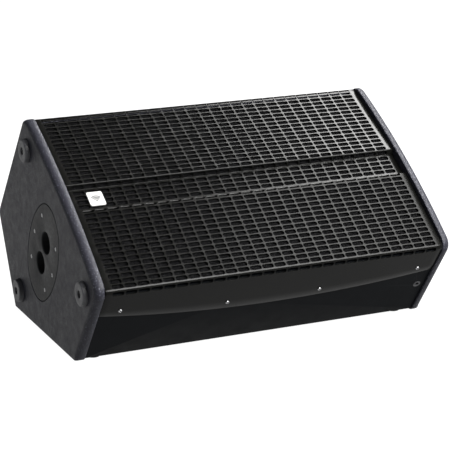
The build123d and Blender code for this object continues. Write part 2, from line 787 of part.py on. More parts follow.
# Bass-reflex tubes beside the horn
port_places = [(horn_x, driver_line_u + 136), (horn_x, driver_line_u - 136)]
ports = [on_plane(baffle_plane, tube(27, 24, -110, 0), x, u, -baffle_depth) for x, u in port_places]
parts["port_tubes"] = group(ports)
for x, u in port_places:
    parts["baffle"] -= on_plane(baffle_plane, disc(27, -30, 5), x, u, -baffle_depth)
    parts["corner_battens"] -= on_plane(baffle_plane, disc(27.5, -112, 5), x, u, -baffle_depth)

# Amplifier module on the back panel
dish = amp_dish()
panel_screw = pan_screw(4.4, 1.9, 2.1, 14)
dish_screws = [
    Pos(x, y, sheet) * panel_screw
    for x in (-174, -87, 0, 87, 174)
    for y in (-64, 64)
]
cup_screws = [Pos(x, y, 2.0) * panel_screw for x in (-90, 0, 90) for y in (-53, 53)]
parts["panel_screws"] = group(
    [on_plane(rear_plane, s) for s in dish_screws] + [on_plane(top_plane, s) for s in cup_screws]
)
parts["amp_panel"] = on_plane(rear_plane, dish) - parts["panel_screws"]
parts["back_panel"] -= on_plane(rear_plane, rounded_block(dish_width, dish_height, 40, 8), 0, 0, 5)
parts["back_panel"] -= parts["panel_screws"]
parts["heatsink"] = on_plane(rear_plane, heatsink())
parts["input_sockets"] = group([on_plane(rear_plane, signal_socket(), x, y) for x, y in socket_places])
parts["link_socket"] = on_plane(rear_plane, link_output(), *link_place)
for letter, place in zip("ab", socket_places):
    parts["latch_tab_" + letter] = on_plane(rear_plane, latch_tab(), *place)
for letter, place in zip("ab", knob_places):
    parts["level_knob_" + letter] = on_plane(rear_plane, level_knob(), *place)
parts["potentiometers"] = group([on_plane(rear_plane, potentiometer(), x, y) for x, y in knob_places])
for name, place in zip(("contour_button", "ground_lift_button"), button_places):
    parts[name] = on_plane(rear_plane, push_cap(), *place)
parts["button_switches"] = group([on_plane(rear_plane, push_switch(), x, y) for x, y in button_places])
lens = disc(1.4, floor_top - 6, floor_top + 0.8)
parts["indicator_leds"] = group([on_plane(rear_plane, lens, x, y) for x, y in led_places])
switch_frame, rocker = rocker_parts()
parts["power_switch_frame"] = on_plane(rear_plane, switch_frame, *switch_place)
parts["power_rocker"] = on_plane(rear_plane, rocker, *switch_place)
parts["mains_inlet"] = on_plane(rear_plane, mains_inlet(), *inlet_place)
parts["mains_inlet_pins"] = on_plane(rear_plane, inlet_pins(), *inlet_place)
parts["amp_housing"] = on_plane(rear_plane, amp_housing())
input_board, power_board, transformer = circuit_boards()
parts["input_board"] = on_plane(rear_plane, input_board)
parts["power_board"] = on_plane(rear_plane, power_board)
parts["power_transformer"] = on_plane(rear_plane, transformer)

# Carrying handle in the rear upper panel
parts["handle_cup"] = on_plane(top_plane, handle_cup()) - parts["panel_screws"]
parts["handle_grip"] = on_plane(top_plane, handle_bar(), 0, *bar_place)
parts["rear_upper_panel"] -= on_plane(top_plane, rounded_block(cup_width, cup_height, 80, 18), 0, 0, 5)
parts["rear_upper_panel"] -= parts["panel_screws"]

# Clear the internal frame round the modules
clearance = on_plane(rear_plane, Pos(0, 0, -50) * Box(dish_width + 2, dish_height + 2, 120))
hand_room = on_plane(top_plane, Pos(0, 0, -30) * Box(cup_width + 2, cup_height + 2, 66))
parts["window_brace"] -= clearance
parts["window_brace"] -= hand_room
parts["corner_battens"] -= clearance
parts["corner_battens"] -= hand_room

# ---------------------------------------------------------------- placing and writing
# The origin is the middle of the whole object's footprint, at the bottom of the pads.
os.makedirs("parts", exist_ok=True)
panel_box = parts["left_end_panel"].bounding_box()
shift = Vector(
    foot_height / 2,
    -(panel_box.min.Y + panel_box.max.Y) / 2,
    pad_thickness - pad_top,
)
for name, shape in parts.items():
    placed = Pos(*shift) * shape
    export_step(placed, "parts/" + name + ".step")
print("nodes", len(parts), "shift", shift)
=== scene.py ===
import json
import math

import bmesh
import bpy
import numpy as np
from mathutils import Matrix, Vector


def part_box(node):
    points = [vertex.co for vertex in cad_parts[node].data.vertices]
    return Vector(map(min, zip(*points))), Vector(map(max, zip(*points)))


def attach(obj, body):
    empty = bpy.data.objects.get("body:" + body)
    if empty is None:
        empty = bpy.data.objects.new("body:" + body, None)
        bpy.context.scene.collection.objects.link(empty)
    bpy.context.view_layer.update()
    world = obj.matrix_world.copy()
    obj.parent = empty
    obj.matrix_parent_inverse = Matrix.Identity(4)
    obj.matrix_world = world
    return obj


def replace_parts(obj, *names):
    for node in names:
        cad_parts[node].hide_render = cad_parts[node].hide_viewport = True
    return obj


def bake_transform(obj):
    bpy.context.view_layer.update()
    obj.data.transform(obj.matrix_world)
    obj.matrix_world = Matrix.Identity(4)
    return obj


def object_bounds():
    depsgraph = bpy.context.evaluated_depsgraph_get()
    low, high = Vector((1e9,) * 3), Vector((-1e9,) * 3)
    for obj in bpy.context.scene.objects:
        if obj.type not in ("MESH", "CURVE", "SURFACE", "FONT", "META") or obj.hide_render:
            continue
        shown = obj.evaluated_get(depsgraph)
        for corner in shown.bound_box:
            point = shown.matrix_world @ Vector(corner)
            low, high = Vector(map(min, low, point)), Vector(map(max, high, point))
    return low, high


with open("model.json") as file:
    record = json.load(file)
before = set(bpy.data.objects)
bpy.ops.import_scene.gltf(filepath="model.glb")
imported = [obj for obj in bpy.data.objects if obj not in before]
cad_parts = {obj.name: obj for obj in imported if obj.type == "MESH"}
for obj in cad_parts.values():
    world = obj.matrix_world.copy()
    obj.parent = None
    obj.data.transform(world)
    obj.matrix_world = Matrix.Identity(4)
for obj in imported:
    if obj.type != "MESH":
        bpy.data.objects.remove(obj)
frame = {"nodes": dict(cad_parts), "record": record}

cad_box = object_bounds()

# ---------------------------------------------------------------- cabinet geometry, millimetres
# The section lies in the Y-Z plane. "Chord" is the line from the front top corner to the
# rear top corner of the end panels; u runs along it and v stands square to it, outwards.
MM = 0.001
CABINET_LENGTH = 620.0
BOARD = 15.0
BASE_DEPTH = 284.0
FRONT_WIDTH, FRONT_LEAN = 171.0, 123.9
CHORD_LENGTH, CHORD_TILT = 374.0, 32.7
REAR_WIDTH, REAR_TILT = 166.0, 62.8
SHELL_INSET = 3.5
RIM_BOW = 12.0
SHEET = 1.5
GRILLE_HALF = 294.0


def along(angle, distance):
    """Step in the section plane, the angle counted from +Y towards +Z."""
    a = math.radians(angle)
    return np.array([0.0, distance * math.cos(a), distance * math.sin(a)])


front_bottom = np.zeros(3)
rear_bottom = np.array([0.0, BASE_DEPTH, 0.0])
rear_edge = rear_bottom + along(REAR_TILT, REAR_WIDTH)
front_top = front_bottom + along(FRONT_LEAN, FRONT_WIDTH)
rear_top = front_top + along(CHORD_TILT, CHORD_LENGTH)
CORNERS = [front_bottom, rear_bottom, rear_edge, rear_top, front_top]
chord_direction = along(CHORD_TILT, 1.0)
chord_normal = along(CHORD_TILT + 90.0, 1.0)


def unit(v):
    """A vector scaled to length one."""
    return v / np.linalg.norm(v)


def crossing(point_a, direction_a, point_b, direction_b):
    """Point where two lines of the section plane cross."""
    gap = point_b - point_a
    below = direction_a[1] * direction_b[2] - direction_a[2] * direction_b[1]
    return point_a + direction_a * ((gap[1] * direction_b[2] - gap[2] * direction_b[1]) / below)


def inset_lines(distance):
    """Each side of the section moved inwards, as a point and a direction."""
    lines = []
    for index, start in enumerate(CORNERS):
        run = unit(CORNERS[(index + 1) % 5] - start)
        lines.append((start + np.array([0.0, -run[2], run[1]]) * distance, run))
    return lines


def inset_corners(distance):
    """The five corners of the section after every side has moved inwards."""
    lines = inset_lines(distance)
    return [crossing(*lines[index - 1], *lines[index]) for index in range(5)]


def chord_point(u, v):
    """Section point at u along the chord from the front top corner and v above it."""
    return front_top + chord_direction * u + chord_normal * v


outer = inset_corners(SHELL_INSET)
outer_lines = inset_lines(SHELL_INSET)

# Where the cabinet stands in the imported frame: the bottom board's front edge gives Y and Z,
# the two end panels give X.
board_low = np.array(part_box("bottom_panel")[0]) / MM
left_low = np.array(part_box("left_end_panel")[0]) / MM
right_high = np.array(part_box("right_end_panel")[1]) / MM
middle_x = (left_low[0] + right_high[0]) / 2
SHIFT = np.array([middle_x, board_low[1] - outer[0][1], board_low[2] - outer[0][2]])


class Plane:
    """A working plane with its own x, y and z, z pointing out of the face."""

    def __init__(self, origin, x_axis, z_axis):
        self.origin = np.array(origin, float)
        self.x = np.array(x_axis, float)
        self.z = np.array(z_axis, float)
        self.y = np.cross(self.z, self.x)

    def place(self, points):
        """Local points in millimetres to cabinet points in millimetres."""
        points = np.asarray(points, float)
        return self.origin + points @ np.array([self.x, self.y, self.z])

    def moved(self, x=0.0, y=0.0, z=0.0):
        """The same plane with its origin elsewhere on it."""
        return Plane(self.place([x, y, z]), self.x, self.z)


def face_normal(index):
    """Outward normal of one side of the section."""
    run = outer_lines[index][1]
    return np.array([0.0, run[2], -run[1]])


baffle_plane = Plane(front_top, (1, 0, 0), chord_normal)
front_plane = Plane(outer[4], (1, 0, 0), face_normal(4))
rear_plane = Plane((outer[1] + outer[2]) / 2, (-1, 0, 0), face_normal(1))
HANDLE_DROP = 10.0
top_plane = Plane((outer[2] + outer[3]) / 2 - outer_lines[2][1] * HANDLE_DROP, (-1, 0, 0), face_normal(2))
top_flange_plane = Plane(outer[3], (-1, 0, 0), face_normal(2))
left_plane = Plane(front_top - np.array([CABINET_LENGTH / 2, 0, 0]), chord_direction, (-1, 0, 0))


# ---------------------------------------------------------------- mesh helpers
def to_row(points):
    """Cabinet millimetres to row-frame metres."""
    return (np.asarray(points, float) + SHIFT) * MM


def turn_out(piece):
    """Make every face of a closed piece point outwards."""
    bm = bmesh.new()
    bm.from_mesh(piece.data)
    bmesh.ops.recalc_face_normals(bm, faces=bm.faces)
    bm.to_mesh(piece.data)
    bm.free()


SHARP_ANGLE = 40.0


def make_piece(name, points, faces, slot, sharp_angle=SHARP_ANGLE, body="cabinet"):
    """One mesh object from cabinet points; faces meeting at more than sharp_angle stay crisp."""
    mesh = bpy.data.meshes.new(name)
    mesh.from_pydata([tuple(p) for p in to_row(points)], [], [tuple(f) for f in faces])
    mesh.validate()
    mesh.shade_smooth()
    mesh.set_sharp_from_angle(angle=math.radians(sharp_angle))
    mesh.materials.append(MATERIALS[slot])
    piece = bpy.data.objects.new(name, mesh)
    bpy.context.scene.collection.objects.link(piece)
    if body:
        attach(piece, body)
    turn_out(piece)
    return piece


class Shape:
    """Points and faces that are being collected for one piece."""

    def __init__(self):
        self.points = np.zeros((0, 3))
        self.faces = []

    def add(self, points, faces):
        """Append a set of points and the faces that use them."""
        start = len(self.points)
        self.points = np.vstack([self.points, np.asarray(points, float)])
        self.faces += [tuple(start + i for i in face) for face in faces]

    def ring(self, points):
        """Append one closed loop of points and return its indices."""
        start = len(self.points)
        self.add(points, [])
        return list(range(start, start + len(points)))

    def join(self, rings):
        """Bridge every ring to the next one."""
        for low, high in zip(rings[:-1], rings[1:]):
            self.faces += bridge(low, high)


def round_corners(points, radii, steps=5):
    """2D polyline with its inner corners rounded; radii has one value for each point."""
    result = []
    count = len(points)
    for index, point in enumerate(points):
        point = np.array(point, float)
        radius = radii[index]
        if radius <= 0:
            result.append(point)
            continue
        before = unit(np.array(points[index - 1], float) - point)
        after = unit(np.array(points[(index + 1) % count], float) - point)
        half = math.acos(max(-1.0, min(1.0, float(before @ after)))) / 2
        reach = radius / math.tan(half)
        centre = point + unit(before + after) * (radius / math.sin(half))
        start = point + before * reach - centre
        end = point + after * reach - centre
        sweep = math.acos(max(-1.0, min(1.0, float(unit(start) @ unit(end)))))
        turn = 1.0 if start[0] * end[1] - start[1] * end[0] > 0 else -1.0
        for step in range(steps + 1):
            a = turn * sweep * step / steps
            result.append(centre + np.array([start[0] * math.cos(a) - start[1] * math.sin(a),
                                             start[0] * math.sin(a) + start[1] * math.cos(a)]))
    return np.array(result)


def lathe(profile, segments=48):
    """Solid of revolution about local z; profile runs from axis to axis or round a ring."""
    profile = np.asarray(profile, float)
    closed_ring = profile[0][0] > 1e-6 and profile[-1][0] > 1e-6
    points, faces, rings = [], [], []
    for radius, z in profile:
        if radius < 1e-6:
            rings.append([len(points)])
            points.append((0.0, 0.0, z))
            continue
        ring = []
        for k in range(segments):
            a = 2 * math.pi * k / segments
            ring.append(len(points))
            points.append((radius * math.cos(a), radius * math.sin(a), z))
        rings.append(ring)
    pairs = list(zip(rings[:-1], rings[1:]))
    if closed_ring:
        pairs.append((rings[-1], rings[0]))
    for low, high in pairs:
        for k in range(segments):
            n = (k + 1) % segments
            if len(low) == 1 and len(high) > 1:
                faces.append((low[0], high[n], high[k]))
            elif len(high) == 1 and len(low) > 1:
                faces.append((low[k], low[n], high[0]))
            elif len(low) > 1:
                faces.append((low[k], low[n], high[n], high[k]))
    return np.array(points), faces


def bridge(loop_a, loop_b):
    """Quads between two closed index loops of the same length."""
    count = len(loop_a)
    return [(loop_a[k], loop_a[(k + 1) % count], loop_b[(k + 1) % count], loop_b[k]) for k in range(count)]


def fill_flat(points, loops):
    """Triangles that fill the flat region between an outer loop and any inner loops."""
    bm = bmesh.new()
    made = {}
    edges = []
    for loop in loops:
        for index in loop:
            made[index] = bm.verts.new(points[index])
        for k, index in enumerate(loop):
            edges.append(bm.edges.new((made[index], made[loop[(k + 1) % len(loop)]])))
    filled = bmesh.ops.triangle_fill(bm, use_beauty=True, use_dissolve=False, edges=edges)
    back = {vert: index for index, vert in made.items()}
    faces = [tuple(back[v] for v in f.verts) for f in filled["geom"] if isinstance(f, bmesh.types.BMFace)]
    bm.free()
    return faces


# ---------------------------------------------------------------- materials
def material(name, colour, roughness, metallic=0.0, specular=0.5, sheen=0.0):
    """A principled material, returned with its node tree ready for detail."""
    made = bpy.data.materials.new(name)
    made.use_nodes = True
    shader = made.node_tree.nodes["Principled BSDF"]
    shader.inputs["Base Color"].default_value = (*colour, 1.0)
    shader.inputs["Roughness"].default_value = roughness
    shader.inputs["Metallic"].default_value = metallic
    shader.inputs["Specular IOR Level"].default_value = specular
    shader.inputs["Sheen Weight"].default_value = sheen
    return made


def node(made, kind, **settings):
    """Add a node and set its sockets and properties by name."""
    added = made.node_tree.nodes.new(kind)
    for key, value in settings.items():
        if key in added.inputs:
            added.inputs[key].default_value = value
        else:
            setattr(added, key, value)
    return added


def link(made, source, target):
    """Join two sockets."""
    made.node_tree.links.new(source, target)


def place_of(made):
    """The point on the object, in metres of the row frame."""
    return node(made, "ShaderNodeTexCoord").outputs["Object"]


def noise(made, scale, detail=3.0, rough=0.55, stretch=None):
    """Noise in row-frame metres, scale in cells per metre; stretch squeezes it along the axes."""
    where = place_of(made)
    if stretch:
        mapped = node(made, "ShaderNodeMapping")
        mapped.inputs["Scale"].default_value = stretch
        link(made, where, mapped.inputs["Vector"])
        where = mapped.outputs["Vector"]
    texture = node(made, "ShaderNodeTexNoise", Scale=scale, Detail=detail, Roughness=rough)
    link(made, where, texture.inputs["Vector"])
    return texture.outputs["Fac"]


def cells(made, scale, feature="F1"):
    """Voronoi distance in row-frame metres."""
    texture = node(made, "ShaderNodeTexVoronoi", Scale=scale)
    texture.feature = feature
    link(made, place_of(made), texture.inputs["Vector"])
    return texture.outputs["Distance"]


def ramp(made, source, stops):
    """Colour ramp with (position, colour) stops; a colour is a grey value or three numbers."""
    added = node(made, "ShaderNodeValToRGB")
    elements = added.color_ramp.elements
    while len(elements) < len(stops):
        elements.new(0.5)
    for element, (position, colour) in zip(elements, stops):
        element.position = position
        colour = (colour,) * 3 if isinstance(colour, (int, float)) else colour
        element.color = (*colour, 1.0)
    link(made, source, added.inputs["Fac"])
    return added.outputs["Color"]


def bump(made, height, strength, distance, under=None):
    """Bump from a height socket, on top of an earlier bump where one is given."""
    added = node(made, "ShaderNodeBump", Strength=strength, Distance=distance)
    link(made, height, added.inputs["Height"])
    if under:
        link(made, under, added.inputs["Normal"])
    return added.outputs["Normal"]


def finish_with(made, colour=None, roughness=None, normal=None):
    """Connect the finished sockets to the shader."""
    shader = made.node_tree.nodes["Principled BSDF"]
    for socket, target in ((colour, "Base Color"), (roughness, "Roughness"), (normal, "Normal")):
        if socket is not None:
            link(made, socket, shader.inputs[target])
    return made


def textured_paint(name, base, light):
    """Sprayed structure paint: dense fine grain with pale flecks."""
    made = material(name, base, 0.48, specular=0.07)
    grain = noise(made, 620.0, 2.0, 0.6)
    fine = noise(made, 1500.0, 2.0, 0.7)
    colour = ramp(made, grain, [(0.35, base), (0.62, tuple(c * 1.35 for c in base)), (0.78, light)])
    rough = ramp(made, noise(made, 90.0, 3.0), [(0.3, 0.42), (0.75, 0.56)])
    normal = bump(made, fine, 0.35, 0.00025, bump(made, grain, 0.75, 0.0006))
    return finish_with(made, colour, rough, normal)


def smooth_paint(name, base, roughness, peel=0.12, light=None, specular=0.15):
    """Sprayed smooth paint with a little orange peel and uneven gloss."""
    made = material(name, base, roughness, specular=specular)
    wave = noise(made, 160.0, 3.0, 0.5)
    bright = light or tuple(c * 1.3 for c in base)
    colour = ramp(made, noise(made, 35.0, 4.0), [(0.3, base), (0.75, bright)])
    rough = ramp(made, noise(made, 60.0, 4.0), [(0.3, roughness - 0.05), (0.75, roughness + 0.06)])
    normal = bump(made, noise(made, 1300.0, 2.0), peel * 0.6, 0.0002, bump(made, wave, peel, 0.0005))
    return finish_with(made, colour, rough, normal)


def moulded(name, base, roughness, grain=900.0, depth=0.4):
    """Injection-moulded plastic with a fine spark-eroded grain."""
    made = material(name, base, roughness, specular=0.03)
    cell = cells(made, grain)
    colour = ramp(made, noise(made, 50.0, 4.0), [(0.3, base), (0.8, tuple(c * 1.4 + 0.002 for c in base))])
    rough = ramp(made, noise(made, 220.0, 3.0), [(0.3, roughness - 0.06), (0.7, roughness + 0.06)])
    return finish_with(made, colour, rough, bump(made, cell, depth, 0.0002))


def rubber(name, base, roughness=0.62):
    """Moulded rubber with a dusty bloom."""
    made = material(name, base, roughness, specular=0.22, sheen=0.02)
    bloom = noise(made, 75.0, 5.0, 0.65)
    colour = ramp(made, bloom, [(0.35, base), (0.8, tuple(c * 1.6 + 0.006 for c in base))])
    rough = ramp(made, noise(made, 300.0, 3.0), [(0.3, roughness - 0.08), (0.7, roughness + 0.06)])
    return finish_with(made, colour, rough, bump(made, noise(made, 1700.0, 2.0), 0.3, 0.0002))


def plated(name, base, roughness, scratch=(1.0, 1.0, 1.0)):
    """Plated metal with fine drawing marks and slight tarnish."""
    made = material(name, base, roughness, metallic=1.0)
    lines = noise(made, 900.0, 3.0, 0.6, scratch)
    colour = ramp(made, noise(made, 120.0, 4.0), [(0.3, base), (0.8, tuple(c * 0.8 for c in base))])
    rough = ramp(made, lines, [(0.3, roughness - 0.08), (0.7, roughness + 0.1)])
    return finish_with(made, colour, rough, bump(made, lines, 0.12, 0.0001))


def open_foam(name):
    """Black open-cell foam: round pores with thin struts; the colour is painted, a little lighter on the
    struts as a painted highlight and near black in the pores as painted shade.
    """
    made = material(name, (0.004, 0.004, 0.0045), 0.9, specular=0.0)
    pore = cells(made, 520.0)
    strut_light_pore_shade = cells(made, 520.0, "DISTANCE_TO_EDGE")
    # painted light: lighter near the cell edges where the struts are, near black at the cell centres, painted
    # shade in the pores
    stops = [(0.02, (0.007, 0.007, 0.0075)), (0.06, (0.0003, 0.0003, 0.0003)), (0.18, 0.0001)]
    colour = ramp(made, strut_light_pore_shade, stops)
    normal = bump(made, noise(made, 260.0, 3.0), 0.6, 0.001, bump(made, pore, 1.0, 0.0012))
    return finish_with(made, colour, None, normal)


def woven(name, base, pale, threads=900.0):
    """Plain weave from two crossed waves."""
    made = material(name, base, 0.8, specular=0.3, sheen=0.2)
    waves = []
    for direction in ("X", "Y"):
        wave = node(made, "ShaderNodeTexWave", Scale=threads)
        wave.bands_direction = direction
        link(made, place_of(made), wave.inputs["Vector"])
        waves.append(wave.outputs["Fac"])
    both = node(made, "ShaderNodeMath")
    both.operation = "MULTIPLY"
    link(made, waves[0], both.inputs[0])
    link(made, waves[1], both.inputs[1])
    colour = ramp(made, both.outputs[0], [(0.1, base), (0.8, pale)])
    return finish_with(made, colour, None, bump(made, both.outputs[0], 0.5, 0.0003))


def paper_pulp(name):
    """Pressed paper cone with visible fibre."""
    made = material(name, (0.035, 0.035, 0.037), 0.75, specular=0.25)
    fibre = noise(made, 420.0, 6.0, 0.75)
    colour = ramp(made, fibre, [(0.3, 0.02), (0.6, 0.045), (0.8, 0.1)])
    return finish_with(made, colour, None, bump(made, fibre, 0.5, 0.0006))


def timber(name, base, dark):
    """Planed wood with long grain along the cabinet."""
    made = material(name, base, 0.7, specular=0.25)
    grain = noise(made, 60.0, 6.0, 0.6, (0.12, 1.0, 1.0))
    colour = ramp(made, grain, [(0.3, dark), (0.65, base)])
    return finish_with(made, colour, None, bump(made, grain, 0.25, 0.0006))


def circuit(name):
    """Solder mask with pale tracks."""
    made = material(name, (0.02, 0.13, 0.05), 0.35)
    tracks = cells(made, 260.0, "DISTANCE_TO_EDGE")
    colour = ramp(made, tracks, [(0.03, (0.05, 0.3, 0.11)), (0.08, (0.015, 0.11, 0.045))])
    return finish_with(made, colour, None, bump(made, tracks, 0.2, 0.0002))


MATERIALS = {
    "textured_paint": textured_paint("textured_paint", (0.0062, 0.0063, 0.0085), (0.11, 0.112, 0.134)),
    "satin_paint": smooth_paint("satin_paint", (0.0014, 0.0016, 0.0019), 0.4, specular=0.012),
    "board_paint": smooth_paint("board_paint", (0.012, 0.012, 0.013), 0.6, 0.3),
    "batten_wood": timber("batten_wood", (0.5, 0.35, 0.2), (0.32, 0.2, 0.1)),
    "grille_steel": smooth_paint("grille_steel", (0.0012, 0.0012, 0.0011), 0.22, 0.1, specular=0.042),
    "acoustic_foam": open_foam("acoustic_foam"),
    "bright_screw": plated("bright_screw", (0.22, 0.22, 0.225), 0.3),
    "emblem_plate": smooth_paint("emblem_plate", (0.13, 0.13, 0.128), 0.4, 0.08, (0.16, 0.16, 0.158)),
    "moulded_plastic": moulded("moulded_plastic", (0.009, 0.0093, 0.0096), 0.42),
    "foot_rubber": rubber("foot_rubber", (0.014, 0.0142, 0.016), 0.5),
    "black_screw": plated("black_screw", (0.03, 0.03, 0.032), 0.4),
    "black_steel": smooth_paint("black_steel", (0.012, 0.012, 0.013), 0.4),
    "basket_metal": textured_paint("basket_metal", (0.015, 0.015, 0.016), (0.06, 0.06, 0.062)),
    "zinc_steel": plated("zinc_steel", (0.5, 0.51, 0.53), 0.38, (0.1, 1.0, 1.0)),
    "ferrite": moulded("ferrite", (0.03, 0.03, 0.032), 0.7, 500.0, 0.6),
    "coil_copper": plated("coil_copper", (0.7, 0.33, 0.16), 0.3, (1.0, 0.2, 1.0)),
    "cone_paper": paper_pulp("cone_paper"),
    "surround_cloth": woven("surround_cloth", (0.008, 0.008, 0.009), (0.03, 0.03, 0.032)),
    "spider_cloth": woven("spider_cloth", (0.35, 0.25, 0.08), (0.6, 0.46, 0.18)),
    "gasket_rubber": rubber("gasket_rubber", (0.012, 0.012, 0.012), 0.75),
    "horn_plastic": moulded("horn_plastic", (0.014, 0.014, 0.015), 0.5, 700.0),
    "diaphragm_metal": plated("diaphragm_metal", (0.7, 0.7, 0.73), 0.25),
    "panel_metal": smooth_paint("panel_metal", (0.016, 0.016, 0.0175), 0.45, 0.3),
    "heatsink_aluminium": plated("heatsink_aluminium", (0.03, 0.03, 0.033), 0.42, (1.0, 0.1, 0.1)),
    "socket_plastic": moulded("socket_plastic", (0.011, 0.011, 0.012), 0.38, 1200.0, 0.25),
    "latch_metal": plated("latch_metal", (0.55, 0.55, 0.57), 0.3),
    "knob_plastic": rubber("knob_plastic", (0.016, 0.016, 0.017), 0.55),
    "button_plastic": moulded("button_plastic", (0.22, 0.22, 0.235), 0.4, 1200.0, 0.2),
    "led_lens": moulded("led_lens", (0.05, 0.42, 0.09), 0.12, 900.0, 0.05),
    "rocker_plastic": moulded("rocker_plastic", (0.012, 0.012, 0.013), 0.25, 1200.0, 0.12),
    "pin_brass": plated("pin_brass", (0.75, 0.7, 0.55), 0.28),
    "circuit_board": circuit("circuit_board"),
    "transformer_tape": smooth_paint("transformer_tape", (0.55, 0.4, 0.06), 0.3, 0.3),
    "grip_rubber": rubber("grip_rubber", (0.013, 0.013, 0.014), 0.6),
}

for subpart in frame["record"]["subparts"]:
    cad_node = frame["nodes"][subpart["node"]]
    cad_node.data.materials.clear()
    cad_node.data.materials.append(MATERIALS[subpart["material_slot"]])


# ---------------------------------------------------------------- end panels
CORNER_ROUND = 20.0
FOOT_CORNER = 16.0
CRISP_CORNER = 4.0
RIM_ROUND = 10.0
CRISP_EDGE = 2.2
PLATE_U, PLATE_V = 195.5, -131.4
PLATE_LONG, PLATE_SHORT, PLATE_END = 92.0, 62.0, 52.0
GROOVE = 1.1
BACK_EDGE, FACE_MARGIN, REAR_FADE = 1.0, 1.2, 62.0
# (widening, depth below the face) of the rings that line the opening for the pole mount
OPENING_RINGS = ((1.4, 0.0), (0.5, 0.0), (0.0, 0.5), (0.0, BOARD - 0.5), (0.5, BOARD), (1.4, BOARD))


def angle_of(direction):
    """Angle of a section direction from +Y towards +Z, 0 to 360 degrees."""
    return math.degrees(math.atan2(direction[2], direction[1])) % 360.0


def bow_circle():
    """Centre and radius of the arc that the upper edge of the end panels follows."""
    half = CHORD_LENGTH / 2
    radius = (half**2 + RIM_BOW**2) / (2 * RIM_BOW)
    return chord_point(half, RIM_BOW - radius), radius


def corner_on_bow(side, round_radius):
    """Centre of a corner arc that touches one straight side and the bow from inside."""
    centre, radius = bow_circle()
    start, run = inset_lines(round_radius)[side]
    to_start = start - centre
    along_run = -float(to_start @ run)
    away = np.linalg.norm(to_start + run * along_run)
    reach = math.sqrt((radius - round_radius) ** 2 - away**2)
    options = [start + run * (along_run + sign * reach) for sign in (-1, 1)]
    near = rear_top if side == 2 else front_top
    return min(options, key=lambda p: np.linalg.norm(p - near))


def rim_outline():
    """The end panel's outline as points and outward normal angles, anticlockwise."""
    bow_centre, bow_radius = bow_circle()
    normals = [angle_of(face_normal(i)) for i in range(5)]
    rear_centre = corner_on_bow(2, CORNER_ROUND)
    front_centre = corner_on_bow(4, CORNER_ROUND)
    rear_turn = angle_of(rear_centre - bow_centre)
    front_turn = angle_of(front_centre - bow_centre)
    foot = inset_corners(FOOT_CORNER)[0]
    crisp = inset_corners(CRISP_CORNER)
    arcs = [
        (foot, FOOT_CORNER, normals[4], normals[0], 8),
        (crisp[1], CRISP_CORNER, normals[0], normals[1], 5),
        (crisp[2], CRISP_CORNER, normals[1], normals[2] + 360.0, 5),
        (rear_centre, CORNER_ROUND, normals[2], rear_turn, 10),
        (bow_centre, bow_radius, rear_turn, front_turn, 48),
        (front_centre, CORNER_ROUND, front_turn, normals[4], 12),
    ]
    points, angles = [], []
    for centre, radius, first, last, steps in arcs:
        for k in range(steps + 1):
            a = first + (last - first) * k / steps
            if points and np.linalg.norm(centre + along(a, radius) - points[-1]) < 0.05:
                continue
            points.append(centre + along(a, radius))
            angles.append(a % 360.0)
    return np.array(points), np.array(angles)


def smooth_step(value):
    """Ease from 0 to 1."""
    t = np.clip(value, 0.0, 1.0)
    return t * t * (3 - 2 * t)


def edge_radius(angles):
    """Roundover at each outline point: full on the bow and the front face, crisp elsewhere."""
    side_normal = angle_of(face_normal(2))
    front_normal = angle_of(face_normal(4))
    over_rear = smooth_step((angles - side_normal) / REAR_FADE)
    under_front = 1.0 - smooth_step((angles - front_normal) / (270.0 - front_normal))
    share = np.where(angles < 180.0, over_rear, under_front)
    return CRISP_EDGE + (RIM_ROUND - CRISP_EDGE) * share


def oval_loop(half_long, half_short, end_radius, steps=14):
    """Four-arc oval, as local points, its long axis along x."""
    side_radius = half_long**2 + half_short**2 - 2 * half_long * end_radius
    side_radius /= 2 * (half_short - end_radius)
    drop = side_radius - half_short
    tilt = math.degrees(math.atan2(drop, half_long - end_radius))
    points = []
    arcs = [
        (half_long - end_radius, 0.0, end_radius, -tilt, tilt),
        (0.0, -drop, side_radius, tilt, 180.0 - tilt),
        (end_radius - half_long, 0.0, end_radius, 180.0 - tilt, 180.0 + tilt),
        (0.0, drop, side_radius, 180.0 + tilt, 360.0 - tilt),
    ]
    for x, y, radius, first, last in arcs:
        for k in range(steps):
            a = math.radians(first + (last - first) * k / steps)
            points.append((x + radius * math.cos(a), y + radius * math.sin(a)))
    return np.array(points)


pole_plane = Plane(left_plane.place([PLATE_U, -PLATE_V, 0.0]), chord_normal, (-1, 0, 0))


def end_panel_piece(name, side):
    """End board with its variable roundover; the left one has the opening for the pole mount."""
    outline, angles = rim_outline()
    radii = edge_radius(angles)
    inward = -np.array([along(a, 1.0) for a in angles])
    face_x = side * CABINET_LENGTH / 2
    shape = Shape()
    loops = []

    def ring(offsets, depth):
        points = outline + inward * np.reshape(offsets, (-1, 1))
        points[:, 0] = face_x - side * np.reshape(depth, -1)
        loops.append(shape.ring(points))

    same = np.ones(len(outline))
    turns = np.linspace(0.0, math.pi / 2, 8)
    ring(same * (BACK_EDGE + FACE_MARGIN), same * BOARD)
    for a in turns[::3]:
        ring(same * BACK_EDGE * (1 - math.sin(a)), same * (BOARD - BACK_EDGE * (1 - math.cos(a))))
    for a in turns:
        ring(radii * (1 - math.cos(a)), radii * (1 - math.sin(a)))
    ring(radii + FACE_MARGIN, same * 0.0)
    shape.join(loops)
    face_loops, back_loops = [loops[-1]], [loops[0]]
    if side < 0:
        hole = []
        for grow, depth in OPENING_RINGS:
            local = oval_loop(*(half + GROOVE + grow for half in (PLATE_LONG, PLATE_SHORT, PLATE_END)))
            placed = pole_plane.place(np.column_stack([local, np.full(len(local), -depth)]))
            hole.append(shape.ring(placed))
        shape.join(hole)
        face_loops.append(hole[0])
        back_loops.append(hole[-1])
    shape.faces += fill_flat(shape.points, face_loops)
    shape.faces += fill_flat(shape.points, back_loops)
    return make_piece(name, shape.points, shape.faces, "textured_paint", 50.0)


